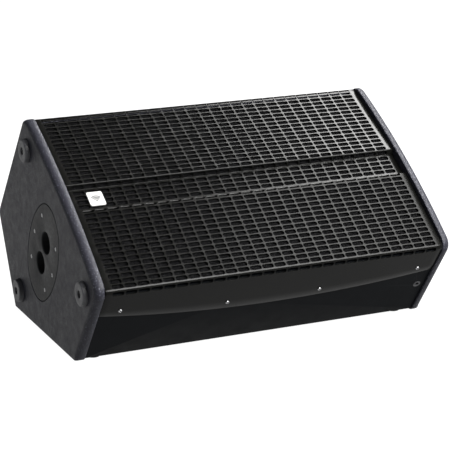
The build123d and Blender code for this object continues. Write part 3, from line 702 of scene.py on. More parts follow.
for name, node_name, side in (
    ("left_end_board", "left_end_panel", -1),
    ("right_end_board", "right_end_panel", 1),
):
    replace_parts(end_panel_piece(name, side), node_name)


# ---------------------------------------------------------------- grille
COLUMNS = 27
COLUMN_PITCH = 21.0
COLUMN_X = [(column - (COLUMNS - 1) / 2) * COLUMN_PITCH for column in range(COLUMNS)]
GRID_HALF = COLUMNS * COLUMN_PITCH / 2
UPPER_PITCH, LOWER_PITCH, CHANNEL_PITCH = 9.65, 9.8, 9.7
HOLE_WIDTH, HOLE_HEIGHT, HOLE_CORNER = 19.1, 7.6, 3.0
EDGE_BREAK = 0.25
FRONT_FLANGE_DROP = 92.0
REAR_FLANGE_DROP = 46.0
FOLD_ROUND = 6.0
CREASE_ROUND = 1.2


class FoldedPath:
    """Middle line of the folded sheet: straight runs joined by tangent arcs, by developed length."""

    def __init__(self, points, radii):
        self.parts = []
        points = [np.array(p, float) for p in points]
        here = points[0]
        for index in range(1, len(points) - 1):
            before = unit(points[index - 1] - points[index])
            after = unit(points[index + 1] - points[index])
            half = math.acos(float(before @ after)) / 2
            radius = radii[index - 1]
            reach = radius / math.tan(half)
            start = points[index] + before * reach
            centre = points[index] + unit(before + after) * (radius / math.sin(half))
            self.parts.append(("line", here, start))
            self.parts.append(("arc", centre, start, math.pi - 2 * half, -before))
            here = points[index] + after * reach
        self.parts.append(("line", here, points[-1]))
        self.lengths = [self.length_of(part) for part in self.parts]
        self.starts = np.concatenate([[0.0], np.cumsum(self.lengths)])

    @staticmethod
    def length_of(part):
        if part[0] == "line":
            return float(np.linalg.norm(part[2] - part[1]))
        return float(np.linalg.norm(part[2] - part[1]) * part[3])

    def at(self, s):
        """Point and direction of travel at developed length s."""
        index = int(np.clip(np.searchsorted(self.starts, s, side="right") - 1, 0, len(self.parts) - 1))
        part, run = self.parts[index], s - self.starts[index]
        if part[0] == "line":
            direction = unit(part[2] - part[1])
            return part[1] + direction * run, direction
        _, centre, start, _, direction = part
        arm = start - centre
        radius = np.linalg.norm(arm)
        a = run / radius
        return centre + arm * math.cos(a) + direction * radius * math.sin(a), (
            direction * math.cos(a) - unit(arm) * math.sin(a)
        )

    def length_at(self, line, point):
        """Developed length of a point on one of the straight runs, counted from 0."""
        part = self.parts[2 * line]
        return self.starts[2 * line] + float((point - part[1]) @ unit(part[2] - part[1]))

    def arc_span(self, number):
        """Developed length at the start and end of one of the folds, counted from 0."""
        return self.starts[2 * number + 1], self.starts[2 * number + 2]


flange_mid = SHELL_INSET - SHEET / 2
front_flange_line = inset_lines(flange_mid)[4]
rear_flange_line = inset_lines(flange_mid)[2]
ridge_rear = chord_point(212.0, 6.2)
channel_rear = chord_point(208.0, -2.4)
channel_front = chord_point(163.5, -2.4)
ridge_front = chord_point(158.5, 4.6)
low_edge, high_edge = chord_point(3.0, -4.4), chord_point(361.0, -5.8)
front_fold = crossing(*front_flange_line, low_edge, ridge_front - low_edge)
rear_fold = crossing(*rear_flange_line, high_edge, ridge_rear - high_edge)
grille_path = FoldedPath(
    [
        front_fold + unit(front_bottom - front_top) * FRONT_FLANGE_DROP,
        front_fold,
        ridge_front,
        channel_front,
        channel_rear,
        ridge_rear,
        rear_fold,
        rear_fold + unit(rear_edge - rear_top) * REAR_FLANGE_DROP,
    ],
    [FOLD_ROUND, CREASE_ROUND, CREASE_ROUND, CREASE_ROUND, CREASE_ROUND, FOLD_ROUND],
)


FRONT_ARC, RIDGE_ARC, REAR_ARC = (grille_path.arc_span(number) for number in (0, 1, 5))
# rows on the folds first, then the rows of each straight run, as (developed length, slot height)
ROWS = [
    (FRONT_ARC[0] - 0.2, HOLE_HEIGHT),
    (sum(RIDGE_ARC) / 2, HOLE_HEIGHT),
    (REAR_ARC[0], HOLE_HEIGHT),
]
for run, corner, way, margin, pitch, count, height in (
    (1, ridge_front, front_fold - ridge_front, 10.3, LOWER_PITCH, 15, HOLE_HEIGHT),
    (3, channel_rear, channel_front - channel_rear, 7.4, CHANNEL_PITCH, 4, HOLE_HEIGHT),
    (4, ridge_rear, channel_rear - ridge_rear, 5.0, CHANNEL_PITCH, 1, 7.0),
    (5, ridge_rear, rear_fold - ridge_rear, 4.9, UPPER_PITCH, 16, HOLE_HEIGHT),
):
    for k in range(count):
        ROWS.append((grille_path.length_at(run, corner + unit(way) * (margin + k * pitch)), height))
ROWS.sort()


def row_bands():
    """Every row of slots as (centre, slot height, band start, band end) in developed length."""
    centres = [row[0] for row in ROWS]
    borders = [(a + b) / 2 for a, b in zip(centres[:-1], centres[1:])]
    borders = [centres[0] - LOWER_PITCH / 2] + borders + [centres[-1] + UPPER_PITCH / 2]
    return [(*row, low, high) for row, low, high in zip(ROWS, borders[:-1], borders[1:])]


# cuts across each fold, front to rear, and how far beside a fold faces still take part
FOLD_CUTS = (10, 5, 5, 5, 5, 10)
FOLD_REACH = 15.0
VERTEX_GRID = 500


class SheetMesh:
    """Mesh of the sheet while it is flat: vertices are (x, developed length, height)."""

    def __init__(self):
        self.keys = {}
        self.places = []
        self.faces = []

    def vertex(self, x, s, h):
        key = tuple(round(value * VERTEX_GRID) for value in (x, s, h))
        if key not in self.keys:
            self.keys[key] = len(self.places)
            self.places.append((x, s, h))
        return self.keys[key]

    def face(self, *corners):
        """One face through (x, s, h) corners."""
        self.faces.append(tuple(self.vertex(*corner) for corner in corners))

    def both_skins(self, corners):
        """The same flat face on the front skin and, turned over, on the back skin."""
        self.face(*[(x, s, SHEET / 2) for x, s in corners])
        self.face(*[(x, s, -SHEET / 2) for x, s in reversed(corners)])

    def close_border(self):
        """Walls between the two skins along their open borders."""
        seen = {}
        for face in self.faces:
            for a, b in zip(face, face[1:] + face[:1]):
                key = (min(a, b), max(a, b))
                seen[key] = None if key in seen else (a, b)
        for edge in [edge for edge in seen.values() if edge]:
            (xa, sa, ha), (xb, sb, hb) = (self.places[index] for index in edge)
            if ha > 0 and hb > 0:
                self.face((xb, sb, hb), (xa, sa, ha), (xa, sa, -ha), (xb, sb, -hb))

    def folded(self):
        """Points and faces after the flat sheet is cut along the folds and bent."""
        bm = bmesh.new()
        verts = [bm.verts.new(place) for place in self.places]
        for face in self.faces:
            bm.faces.new([verts[index] for index in face])
        for number, cuts in enumerate(FOLD_CUTS):
            start, end = grille_path.arc_span(number)
            low, high = start - FOLD_REACH, end + FOLD_REACH
            near = [f for f in bm.faces if any(low < v.co.y < high for v in f.verts)]
            parts = near + list({e for f in near for e in f.edges})
            parts += list({v for f in near for v in f.verts})
            for s in np.linspace(start, end, cuts):
                cut = bmesh.ops.bisect_plane(
                    bm, geom=parts, dist=1e-4, plane_co=(0.0, float(s), 0.0), plane_no=(0.0, 1.0, 0.0)
                )
                parts = list(set(parts) | set(cut["geom"]))
                parts = [part for part in parts if part.is_valid]
        bm.verts.index_update()
        made = []
        for vert in bm.verts:
            x, s, h = vert.co
            point, direction = grille_path.at(s)
            placed = point + np.array([0.0, -direction[2], direction[1]]) * h
            made.append((x, placed[1], placed[2]))
        faces = [tuple(v.index for v in f.verts) for f in bm.faces]
        bm.free()
        return np.array(made), faces


def slot_loop(x, s, width, height, radius, steps=3):
    """Rounded slot outline, anticlockwise from the right side: four arcs of steps + 1 points."""
    loop = []
    for quarter in range(4):
        cx = x + (width / 2 - radius) * (1 if quarter in (0, 3) else -1)
        cs = s + (height / 2 - radius) * (1 if quarter in (0, 1) else -1)
        for k in range(steps + 1):
            a = math.pi / 2 * (quarter + k / steps)
            loop.append((cx + radius * math.cos(a), cs + radius * math.sin(a)))
    return loop


def slot_radius(height):
    """Corner radius of a slot, a little under half its height where that is less."""
    return min(HOLE_CORNER, height / 2 - 0.1)


def slot_cell(mesh, x, s, height, low, high):
    """One slot with the strip of sheet round it, out to the cell's border."""
    left, right = x - COLUMN_PITCH / 2, x + COLUMN_PITCH / 2
    radius = slot_radius(height)
    wide = slot_loop(x, s, HOLE_WIDTH + 2 * EDGE_BREAK, height + 2 * EDGE_BREAK, radius + EDGE_BREAK)
    tight = slot_loop(x, s, HOLE_WIDTH, height, radius)
    dx, ds = HOLE_WIDTH / 2 - HOLE_CORNER, height / 2 - radius
    corners = [(right, high), (left, high), (left, low), (right, low)]
    starts = [(right, s + ds), (x - dx, high), (left, s - ds), (x + dx, low)]
    ends = [(x + dx, high), (left, s + ds), (x - dx, low), (right, s - ds)]
    for level, loop in ((SHEET / 2, wide), (-SHEET / 2, tight)):
        skin = []
        for q in range(4):
            k = loop[4 * q:4 * q + 4]
            skin.append((k[0], starts[q], corners[q], k[1]))
            skin.append((k[1], corners[q], k[2]))
            skin.append((k[2], corners[q], ends[q], k[3]))
            skin.append((k[3], ends[q], starts[(q + 1) % 4], loop[(4 * q + 4) % 16]))
        for corner_list in skin:
            placed = [(px, ps, level) for px, ps in corner_list]
            mesh.face(*(placed if level > 0 else reversed(placed)))
    rings = [(wide, SHEET / 2), (tight, SHEET / 2 - EDGE_BREAK), (tight, -SHEET / 2)]
    for (loop_a, h_a), (loop_b, h_b) in zip(rings[:-1], rings[1:]):
        for k in range(16):
            n = (k + 1) % 16
            mesh.face((*loop_a[k], h_a), (*loop_a[n], h_a), (*loop_b[n], h_b), (*loop_b[k], h_b))


def border_columns():
    """X of every vertex on the borders between bands, with the plain side margins."""
    dx = HOLE_WIDTH / 2 - HOLE_CORNER
    marks = {-GRILLE_HALF, GRILLE_HALF, -GRID_HALF, GRID_HALF}
    for x in COLUMN_X:
        marks |= {x - COLUMN_PITCH / 2, x - dx, x + dx, x + COLUMN_PITCH / 2}
    return sorted({round(mark, 4) for mark in marks})


FLANGE_ARCH_ENDS, FLANGE_ARCH_MIDDLE, FLANGE_STEPS = 57.5, 84.5, 4


def arch_depth(x):
    """Depth of the front flange's lower edge below the face's top edge."""
    half = GRILLE_HALF + 2
    rise = FLANGE_ARCH_MIDDLE - FLANGE_ARCH_ENDS
    radius = (half**2 + rise**2) / (2 * rise)
    return FLANGE_ARCH_MIDDLE - (radius - math.sqrt(radius**2 - x**2))


def grille_mesh():
    """The perforated sheet with its arched front edge, laid out flat, its two skins still open along the
    borders.
    """
    mesh = SheetMesh()
    bands = row_bands()
    for centre, height, low, high in bands:
        for x in COLUMN_X:
            slot_cell(mesh, x, centre, height, low, high)
    columns = border_columns()
    # side margins beside each band, matching the cell's points
    for centre, height, low, high in bands:
        ds = height / 2 - slot_radius(height)
        marks = [low, centre - ds, centre + ds, high]
        for a, b in zip(marks[:-1], marks[1:]):
            for near, far in ((GRID_HALF, GRILLE_HALF), (-GRILLE_HALF, -GRID_HALF)):
                mesh.both_skins([(near, a), (far, a), (far, b), (near, b)])
    # plain flanges: the front one down to its arch, the rear one to a straight edge
    top = bands[0][2]
    fold_at = grille_path.length_at(0, outer[4] + face_normal(4) * (-SHEET / 2))
    end_at = grille_path.length_at(6, rear_fold + unit(rear_edge - rear_top) * REAR_FLANGE_DROP)
    base = bands[-1][3]
    shares = np.linspace(0.0, 1.0, FLANGE_STEPS + 1).tolist()
    for left, right in zip(columns[:-1], columns[1:]):
        ends = [fold_at - arch_depth(x) for x in (left, right)]
        for a, b in zip(shares[:-1], shares[1:]):
            steps = ((left, ends[0], b), (right, ends[1], b), (right, ends[1], a), (left, ends[0], a))
            mesh.both_skins([(x, top + (end - top) * share) for x, end, share in steps])
        for a, b in zip(shares[:-1], shares[1:]):
            low, high = base + (end_at - base) * a, base + (end_at - base) * b
            mesh.both_skins([(left, low), (right, low), (right, high), (left, high)])
    return mesh


RIM_ANGLE, RIM_BREAK = 1.2, 0.3


def break_edges(piece):
    """Small broken edge along the sheet's sides and its arched lower edge."""
    bm = bmesh.new()
    bm.from_mesh(piece.data)
    centre = SHIFT * MM
    low_edge_z = (outer[4] + unit(front_bottom - front_top) * FLANGE_ARCH_ENDS)[2] * MM + centre[2]
    rim = []
    for edge in bm.edges:
        if len(edge.link_faces) != 2 or edge.calc_face_angle(0.0) < RIM_ANGLE:
            continue
        middle = (edge.verts[0].co + edge.verts[1].co) / 2
        at_side = abs(middle.x - centre[0]) > (GRILLE_HALF - 0.1) * MM
        if at_side or middle.z < low_edge_z + MM:
            rim.append(edge)
    bmesh.ops.bevel(
        bm, geom=rim, offset=RIM_BREAK * MM, offset_type="OFFSET", segments=2, profile=0.5, affect="EDGES"
    )
    bm.to_mesh(piece.data)
    bm.free()


sheet_mesh = grille_mesh()
sheet_mesh.close_border()
grille_points, grille_faces = sheet_mesh.folded()
grille = make_piece("grille_sheet", grille_points, grille_faces, "grille_steel")
break_edges(grille)
grille.data.set_sharp_from_angle(angle=math.radians(SHARP_ANGLE))
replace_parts(grille, "grille")


# ---------------------------------------------------------------- foam behind the grille
FOAM_GAP, FOAM_THICK, FOAM_CELL, FOAM_HALF = 2.8, 4.6, 3.5, GRILLE_HALF - 4
FOAM_PINCH = {0: 1.6, 1: 0.5}
FOAM_LUMP, FOAM_SEED = 0.35, 7
foam_path = FoldedPath(
    [chord_point(6.0, -4.2), ridge_front, channel_front, channel_rear, ridge_rear, chord_point(365.0, -6.1)],
    [6.5] * 4,
)


def foam_piece():
    """Loose open-cell sheet following the folds of the grille, gently uneven, with round edges."""
    start, end = 0.0, float(foam_path.starts[-1])
    across = int(2 * FOAM_HALF / FOAM_CELL)
    up = int((end - start) / FOAM_CELL)
    shape = Shape()
    random = np.random.default_rng(FOAM_SEED)
    lumps = random.uniform(-0.5, 0.5, (up + 1, across + 1))
    for _ in range(2):
        near = [np.roll(lumps, step, axis) for axis in (0, 1) for step in (1, -1)]
        lumps = (lumps + near[0] + near[1] + near[2] + near[3]) / 5
    lumps /= max(1e-6, float(np.abs(lumps).max()))
    grids = []
    for skin in (0, 1):
        points = []
        for j in range(up + 1):
            point, direction = foam_path.at(start + (end - start) * j / up)
            outward = np.array([0.0, -direction[2], direction[1]])
            for i in range(across + 1):
                x = -FOAM_HALF + 2 * FOAM_HALF * i / across
                pinch = FOAM_PINCH.get(min(i, across - i, j, up - j), 0.0)
                if skin == 0:
                    depth = FOAM_GAP + pinch - FOAM_LUMP * lumps[j, i]
                else:
                    depth = FOAM_GAP + FOAM_THICK - pinch
                place = point - outward * depth
                points.append((x, place[1], place[2]))
        grids.append(np.array(points))
    width = across + 1
    for skin, points in enumerate(grids):
        faces = []
        for j in range(up):
            for i in range(across):
                low, high = j * width + i, (j + 1) * width + i
                quad = (low, low + 1, high + 1, high)
                faces.append(quad if skin == 0 else quad[::-1])
        shape.add(points, faces)
    border = list(range(across)) + [j * width + across for j in range(up)]
    border += [up * width + i for i in range(across, 0, -1)] + [j * width for j in range(up, 0, -1)]
    behind = [index + len(grids[0]) for index in border]
    shape.faces += bridge(border, behind)
    return make_piece("foam_sheet", shape.points, shape.faces, "acoustic_foam", 70.0)


foam = foam_piece()
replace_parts(foam, "grille_foam")


# ---------------------------------------------------------------- feet, screws, insert, badge
def placed_on(plane, points, x=0.0, y=0.0, z=0.0):
    """Local points moved by x, y, z on a working plane."""
    return plane.place(np.asarray(points, float) + np.array([x, y, z]))


def arc_profile(centre, radius, first, last, steps=5):
    """Profile points round a centre, degrees from the radial axis."""
    turns = [math.radians(first + (last - first) * k / steps) for k in range(steps + 1)]
    return [(centre[0] + radius * math.cos(a), centre[1] + radius * math.sin(a)) for a in turns]


def cross_screw(head_radius, head_height, shank_radius, length, segments=32):
    """Pan-head screw with a cross recess, seated on z = 0."""
    shape = Shape()
    round_top = min(head_height * 0.6, head_radius * 0.45)
    flat = head_radius - round_top * 1.15
    profile = [(0.0, -length), (shank_radius * 0.5, -length)]
    profile += [(shank_radius, -length + shank_radius * 0.8), (shank_radius, -0.2)]
    profile += [(head_radius, 0.0), (head_radius, head_height - round_top)]
    for a in np.linspace(0.2, math.pi / 2, 5):
        inward, down = round_top * (1 - math.cos(a)) * 1.15, round_top * (1 - math.sin(a))
        profile.append((head_radius - inward, head_height - down))
    points, faces = lathe(profile, segments)
    shape.add(points, faces)
    top_ring = list(range(len(points) - segments, len(points)))
    arm, half = flat * 0.92, flat * 0.2
    cross = []
    for x, y in ((1, 0), (0, 1), (-1, 0), (0, -1)):
        cross += [(x * arm + y * half, y * arm - x * half), (x * arm - y * half, y * arm + x * half)]
        cross.append((x * half - y * half, y * half + x * half))
    depth = head_height * 0.55
    loops = []
    for scale, z in ((1.0, head_height), (0.8, head_height - depth)):
        loops.append(shape.ring([(x * scale, y * scale, z) for x, y in cross]))
    shape.join(loops)
    shape.faces.append(tuple(loops[1]))
    shape.faces += fill_flat(shape.points, [top_ring, loops[0]])
    return shape


def screws_piece(name, node_name, places, sizes, slot):
    """Identical screws as one piece; places are (plane, x, y, z, turn in degrees)."""
    screw = cross_screw(*sizes)
    shape = Shape()
    for plane, x, y, z, turn in places:
        a = math.radians(turn)
        spin = np.array([[math.cos(a), math.sin(a), 0], [-math.sin(a), math.cos(a), 0], [0, 0, 1]])
        shape.add(placed_on(plane, screw.points @ spin, x, y, z), screw.faces)
    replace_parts(make_piece(name, shape.points, shape.faces, slot), node_name)


def turned_piece(name, node_name, places, profile, slot, sharp=SHARP_ANGLE, segments=64):
    """Identical turned forms as one piece; places are (plane, x, y, z)."""
    points, faces = lathe(profile, segments)
    shape = Shape()
    for plane, x, y, z in places:
        shape.add(placed_on(plane, points, x, y, z), faces)
    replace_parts(make_piece(name, shape.points, shape.faces, slot, sharp), node_name)


FOOT_HEIGHT = 7.5
foot_places = [(-37.6, 124.3), (256.5, 37.6), (212.3, 288.2)]
foot_planes = [Plane((-CABINET_LENGTH / 2, y, z), (0, 1, 0), (-1, 0, 0)) for y, z in foot_places]
foot_profile = [(2.5, 0.0), (19.6, 0.0), (20.0, 0.4), (19.9, 1.2), (18.6, 5.8)]
foot_profile += arc_profile((16.7, 5.6), 1.9, 12.0, 90.0)
foot_profile += [(7.2, FOOT_HEIGHT), (6.4, 7.2), (6.0, 6.7), (6.0, 3.0), (2.5, 3.0)]
foot_spots = [(plane, 0, 0, 0) for plane in foot_planes]
turned_piece("end_feet_rubber", "end_feet", foot_spots, foot_profile, "foot_rubber")
screws_piece(
    "end_feet_screw_set", "end_feet_screws", [(p, 0, 0, 3.0, 20 + 35 * k) for k, p in enumerate(foot_planes)],
    (5.0, 2.4, 2.5, 16.0), "black_screw",
)

PAD_THICKNESS = 6.0
floor_plane = Plane((0, 0, outer[0][2]), (1, 0, 0), (0, 0, -1))
pad_places = [(floor_plane, x, -y, 0) for x in (-272, 272) for y in (24, 258)]
pad_profile = [(0.0, 0.0), (11.6, 0.0), (12.0, 0.4), (12.0, 4.8)]
pad_profile += arc_profile((10.8, PAD_THICKNESS - 1.2), 1.2, 15.0, 90.0, 4)
pad_profile += [(5.0, PAD_THICKNESS), (4.6, PAD_THICKNESS - 0.5), (0.0, PAD_THICKNESS - 0.5)]
turned_piece("floor_pads", "floor_feet", pad_places, pad_profile, "foot_rubber")

REAR_SCREW_DROP = -36.0
# places of the front flange's screws from left to right; the rear ones stand at the same x
screw_rows = [(-261.0, -49.5), (-76.0, -68.0), (87.5, -68.0), (263.0, -49.5)]
grille_screw_places = [(front_plane, x, y, SHEET, 15 + 25 * k) for k, (x, y) in enumerate(screw_rows)]
for k, (x, _) in enumerate(screw_rows):
    grille_screw_places.append((top_flange_plane, x, REAR_SCREW_DROP, SHEET, 40 - 30 * k))
screws_piece("grille_screw_set", "grille_screws", grille_screw_places, (3.2, 1.8, 1.8, 14.0), "bright_screw")

insert_profile = [(6.5, -12.0), (6.5, 0.35), (6.25, 0.6), (4.1, 0.6), (3.4, -0.1), (3.4, -12.0)]
insert_place = (front_plane, 280.5, -97.0, 0)
turned_piece("rigging_insert_bush", "rigging_insert", [insert_place], insert_profile, "black_steel")


def rounded_slab(width, height, top, radius, edge, steps=5):
    """Plate from z = 0 to top with rounded corners and a rounded upper edge."""
    shape = Shape()
    loops = []
    levels = [(0.0, 0.0), (0.0, top - edge)]
    for a in np.linspace(0.35, math.pi / 2, 4):
        levels.append((-edge * (1 - math.cos(a)), top - edge * (1 - math.sin(a))))
    levels.append((-edge - 0.5, top))
    for grow, z in levels:
        w, h, r = width / 2 + grow, height / 2 + grow, max(0.3, radius + grow)
        loop = round_corners([(w, -h), (w, h), (-w, h), (-w, -h)], [r] * 4, steps)
        loops.append(shape.ring(np.column_stack([loop, np.full(len(loop), z)])))
    shape.join(loops)
    shape.faces += [tuple(loops[0]), tuple(loops[-1])]
    return shape


badge_plane = baffle_plane.moved(-249.5, 185.0, -2.4 + SHEET / 2)
badge_slab = rounded_slab(26.0, 28.5, 1.6, 3.0, 0.5)
badge_points = badge_plane.place(badge_slab.points)
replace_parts(make_piece("badge_plate_face", badge_points, badge_slab.faces, "emblem_plate"), "badge_plate")

# raised generic emblem: three nested arcs above a dot
EMBLEM_CENTRE, ARC_STEPS = np.array([0.0, -5.0, 0.0]), 20
emblem_shape = Shape()
for radius, span in ((4.2, 62.0), (7.2, 56.0), (10.2, 50.0)):
    section = [(-0.75, 1.55), (-0.75, 1.95), (0.75, 1.95), (0.75, 1.55)]
    rings = []
    for k in range(ARC_STEPS + 1):
        a = math.radians(90.0 - span + 2 * span * k / ARC_STEPS)
        direction = np.array([math.cos(a), math.sin(a), 0.0])
        corners = [direction * (radius + dr) + EMBLEM_CENTRE + (0.0, 0.0, z) for dr, z in section]
        rings.append(emblem_shape.ring(corners))
    emblem_shape.join(rings)
    emblem_shape.faces += [tuple(rings[0]), tuple(rings[-1][::-1])]
dot_points, dot_faces = lathe([(0.0, 1.55), (1.5, 1.55), (1.5, 1.9), (1.3, 2.0), (0.0, 2.0)], 24)
emblem_shape.add(dot_points + EMBLEM_CENTRE, dot_faces)
make_piece("badge_emblem", badge_plane.place(emblem_shape.points), emblem_shape.faces, "black_steel")


# ---------------------------------------------------------------- pole mount
SOCKET_OFFSET, SOCKET_RADIUS, SOCKET_TILT = 24.0, 18.25, 3.0
STRAIGHT_DEPTH, TILTED_DEPTH = 75.0, 72.0
PLATE_THICK = 4.0
pole_screw_spots = [(50, 36), (50, -36), (-50, 36), (-50, -36), (0, 47), (0, -47)]


def circle_points(radius, z, segments=48):
    """Circle about local z."""
    turns = np.linspace(0.0, 2 * math.pi, segments, endpoint=False)
    return np.column_stack([radius * np.cos(turns), radius * np.sin(turns), np.full(segments, z)])


# rings as (shrink or radius, height above the face): plate rim, socket lip, screw seat
PLATE_RIM = ((0.0, -PLATE_THICK), (0.0, -0.7), (0.25, -0.2), (0.7, 0.0), (1.6, 0.0))
SOCKET_LIP = ((1.8, 0.0), (1.1, -0.2), (0.5, -0.6), (0.1, -1.2), (0.0, -1.8))
SCREW_SEAT = ((4.1, 0.0), (3.95, -0.2), (3.9, -1.6), (2.0, -1.6), (2.0, -PLATE_THICK))
SOCKET_WALL, SOCKET_FLOOR = 2.6, 3.0


def pole_socket(shape, side, tilt, depth):
    """Blind socket with a rounded lip; returns its openings in the plate's face and back."""
    a = math.radians(tilt)
    turn = np.array([[math.cos(a), 0, -math.sin(a)], [0, 1, 0], [math.sin(a), 0, math.cos(a)]])
    centre = np.array([side * SOCKET_OFFSET, 0.0, 0.0])

    def tilted(radius, z):
        return shape.ring(circle_points(radius, z) @ turn + centre)

    bore = [shape.ring(circle_points(SOCKET_RADIUS + grow, z) + centre) for grow, z in SOCKET_LIP]
    bore += [tilted(SOCKET_RADIUS, z) for z in (-3.0, -20.0, -depth)]
    bore.append(tilted(SOCKET_RADIUS - 3, -depth))
    wall_radius = SOCKET_RADIUS + SOCKET_WALL
    wall = [shape.ring(circle_points(wall_radius, -PLATE_THICK) + centre)]
    wall += [tilted(wall_radius, z) for z in (-PLATE_THICK - 2.0, -depth - SOCKET_FLOOR)]
    for rings in (bore, wall):
        shape.join(rings)
        shape.faces.append(tuple(rings[-1]))
    return bore[0], wall[0]


def pole_mount_piece():
    """Oval plate with a broken edge, two blind sockets with rounded lips and six screw seats."""
    shape = Shape()
    rims = []
    for shrink, z in PLATE_RIM:
        local = oval_loop(PLATE_LONG - shrink, PLATE_SHORT - shrink, PLATE_END - shrink)
        rims.append(shape.ring(np.column_stack([local, np.full(len(local), z)])))
    shape.join(rims)
    front_loops, back_loops = [rims[-1]], [rims[0]]
    for socket in ((1, 0.0, STRAIGHT_DEPTH), (-1, SOCKET_TILT, TILTED_DEPTH)):
        in_face, in_back = pole_socket(shape, *socket)
        front_loops.append(in_face)
        back_loops.append(in_back)
    for x, y in pole_screw_spots:
        seat = [shape.ring(circle_points(r, z, 24) + np.array([x, y, 0.0])) for r, z in SCREW_SEAT]
        shape.join(seat)
        front_loops.append(seat[0])
        back_loops.append(seat[-1])
    shape.faces += fill_flat(shape.points, front_loops)
    shape.faces += fill_flat(shape.points, back_loops)
    placed = pole_plane.place(shape.points)
    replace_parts(make_piece("pole_mount_plate", placed, shape.faces, "moulded_plastic"), "pole_mount")


pole_mount_piece()
screws_piece(
    "pole_screw_set", "pole_mount_screws",
    [(pole_plane, x, y, -1.6, 12 + 31 * k) for k, (x, y) in enumerate(pole_screw_spots)],
    (3.6, 1.6, 2.0, 14.0), "bright_screw",
)


# ---------------------------------------------------------------- drivers and back panel fastenings
WOOFER_X, HORN_X, DRIVER_U, BAFFLE_DEPTH = -118.0, 160.0, 187.0, 38.0
woofer_plane = baffle_plane.moved(WOOFER_X, DRIVER_U, -BAFFLE_DEPTH)
horn_plane = baffle_plane.moved(HORN_X, DRIVER_U, -BAFFLE_DEPTH)
bolt_angles = [math.radians(22.5 + 45.0 * k) for k in range(8)]
BOLT_CIRCLE, GASKET_TOP, HORN_PLATE, CUP_FLANGE = 147.5, 8.5, 5.0, 2.0
driver_spots = [
    (woofer_plane, BOLT_CIRCLE * math.cos(a), BOLT_CIRCLE * math.sin(a), GASKET_TOP, 29 * k)
    for k, a in enumerate(bolt_angles)
]
driver_spots += [(horn_plane, x, y, HORN_PLATE, x + y) for x in (-95, 0, 95) for y in (-92, 92)]
screws_piece("driver_screw_set", "driver_screws", driver_spots, (4.6, 3.0, 2.4, 15.0), "black_screw")

dish_columns = (-174, -87, 0, 87, 174)
panel_spots = [(rear_plane, x, y, SHEET, x / 3 + y) for x in dish_columns for y in (-64, 64)]
panel_spots += [(top_plane, x, y, CUP_FLANGE, x / 2 - y) for x in (-90, 0, 90) for y in (-53, 53)]
screws_piece("panel_screw_set", "panel_screws", panel_spots, (4.4, 1.9, 2.1, 14.0), "black_screw")

ROLL_RADIUS, ROLL_OUTSIDE, ROLL_INSIDE, ROLL_FOOT = 127.2, 8.6, 7.8, 1.2
roll_profile = [
    (ROLL_RADIUS + ROLL_OUTSIDE * math.cos(a), ROLL_FOOT + ROLL_OUTSIDE * math.sin(a))
    for a in np.linspace(math.pi, 0.0, 15)
]
roll_profile += [
    (ROLL_RADIUS + ROLL_INSIDE * math.cos(a), ROLL_FOOT + ROLL_INSIDE * math.sin(a))
    for a in np.linspace(0.0, math.pi, 15)
]
turned_piece(
    "surround_roll", "woofer_surround", [(woofer_plane, 0, 0, 0)], roll_profile, "surround_cloth", 50.0, 96
)
SPIDER_INNER, SPIDER_OUTER, SPIDER_LOW, SPIDER_HIGH, SPIDER_HALF = 40.8, 63.5, -64.1, -62.7, 0.12
SPIDER_STEPS, SPIDER_WAVES, SPIDER_SWING = 40, 5, 0.03


def spider_piece():
    """Corrugated centring disc, a shallow cone whose inner edge follows the woofer cone."""
    profile = []
    for skin in (1, -1):
        for k in range(SPIDER_STEPS + 1)[::skin]:
            share = k / SPIDER_STEPS
            wave = SPIDER_SWING * math.sin(2 * math.pi * SPIDER_WAVES * share) * math.sin(math.pi * share)
            radius = SPIDER_INNER + (SPIDER_OUTER - SPIDER_INNER) * share
            height = SPIDER_LOW + (SPIDER_HIGH - SPIDER_LOW) * (share + wave)
            profile.append((radius, height + skin * SPIDER_HALF))
    points, faces = lathe(profile, 96)
    piece = make_piece("spider_disc", woofer_plane.place(points), faces, "spider_cloth", 60.0, body=None)
    ends = to_row(woofer_plane.place([(0, 0, SPIDER_LOW), (0, 0, SPIDER_HIGH)]))
    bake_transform(piece)
    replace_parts(piece, "woofer_spider")


spider_piece()


# ---------------------------------------------------------------- CAD nodes that keep their shape
MERGE_DISTANCE, SOFT_ANGLE, SOFT_SEGMENTS = 0.00001, 30.0, 2


def soften(node_name, width):
    """Small rounded edges on a CAD node by modifiers."""
    cad = frame["nodes"][node_name]
    weld = cad.modifiers.new("weld", "WELD")
    weld.merge_threshold = MERGE_DISTANCE
    bevel = cad.modifiers.new("bevel", "BEVEL")
    bevel.width = width * MM
    bevel.segments = SOFT_SEGMENTS
    bevel.limit_method = "ANGLE"
    bevel.angle_limit = math.radians(SOFT_ANGLE)
    bevel.harden_normals = True


# edge width in millimetres, and the nodes that get it
for width, names in (
    (1.6, ("handle_grip",)),
    (1.0, ("handle_cup", "horn", "bottom_panel", "front_panel", "back_panel", "rear_upper_panel")),
    (0.6, ("amp_panel", "woofer_basket", "heatsink")),
    (0.4, ("input_sockets", "link_socket", "mains_inlet", "power_switch_frame", "power_rocker")),
    (0.3, ("level_knob_a", "level_knob_b", "contour_button", "ground_lift_button", "mains_inlet_pins")),
    (0.3, ("latch_tab_a", "latch_tab_b", "woofer_gasket", "indicator_leds")),
):
    for node_name in names:
        soften(node_name, width)


# ---------------------------------------------------------------- floor, light and camera
FLOOR_HALF, WORLD_STRENGTH = 30.0, 0.1
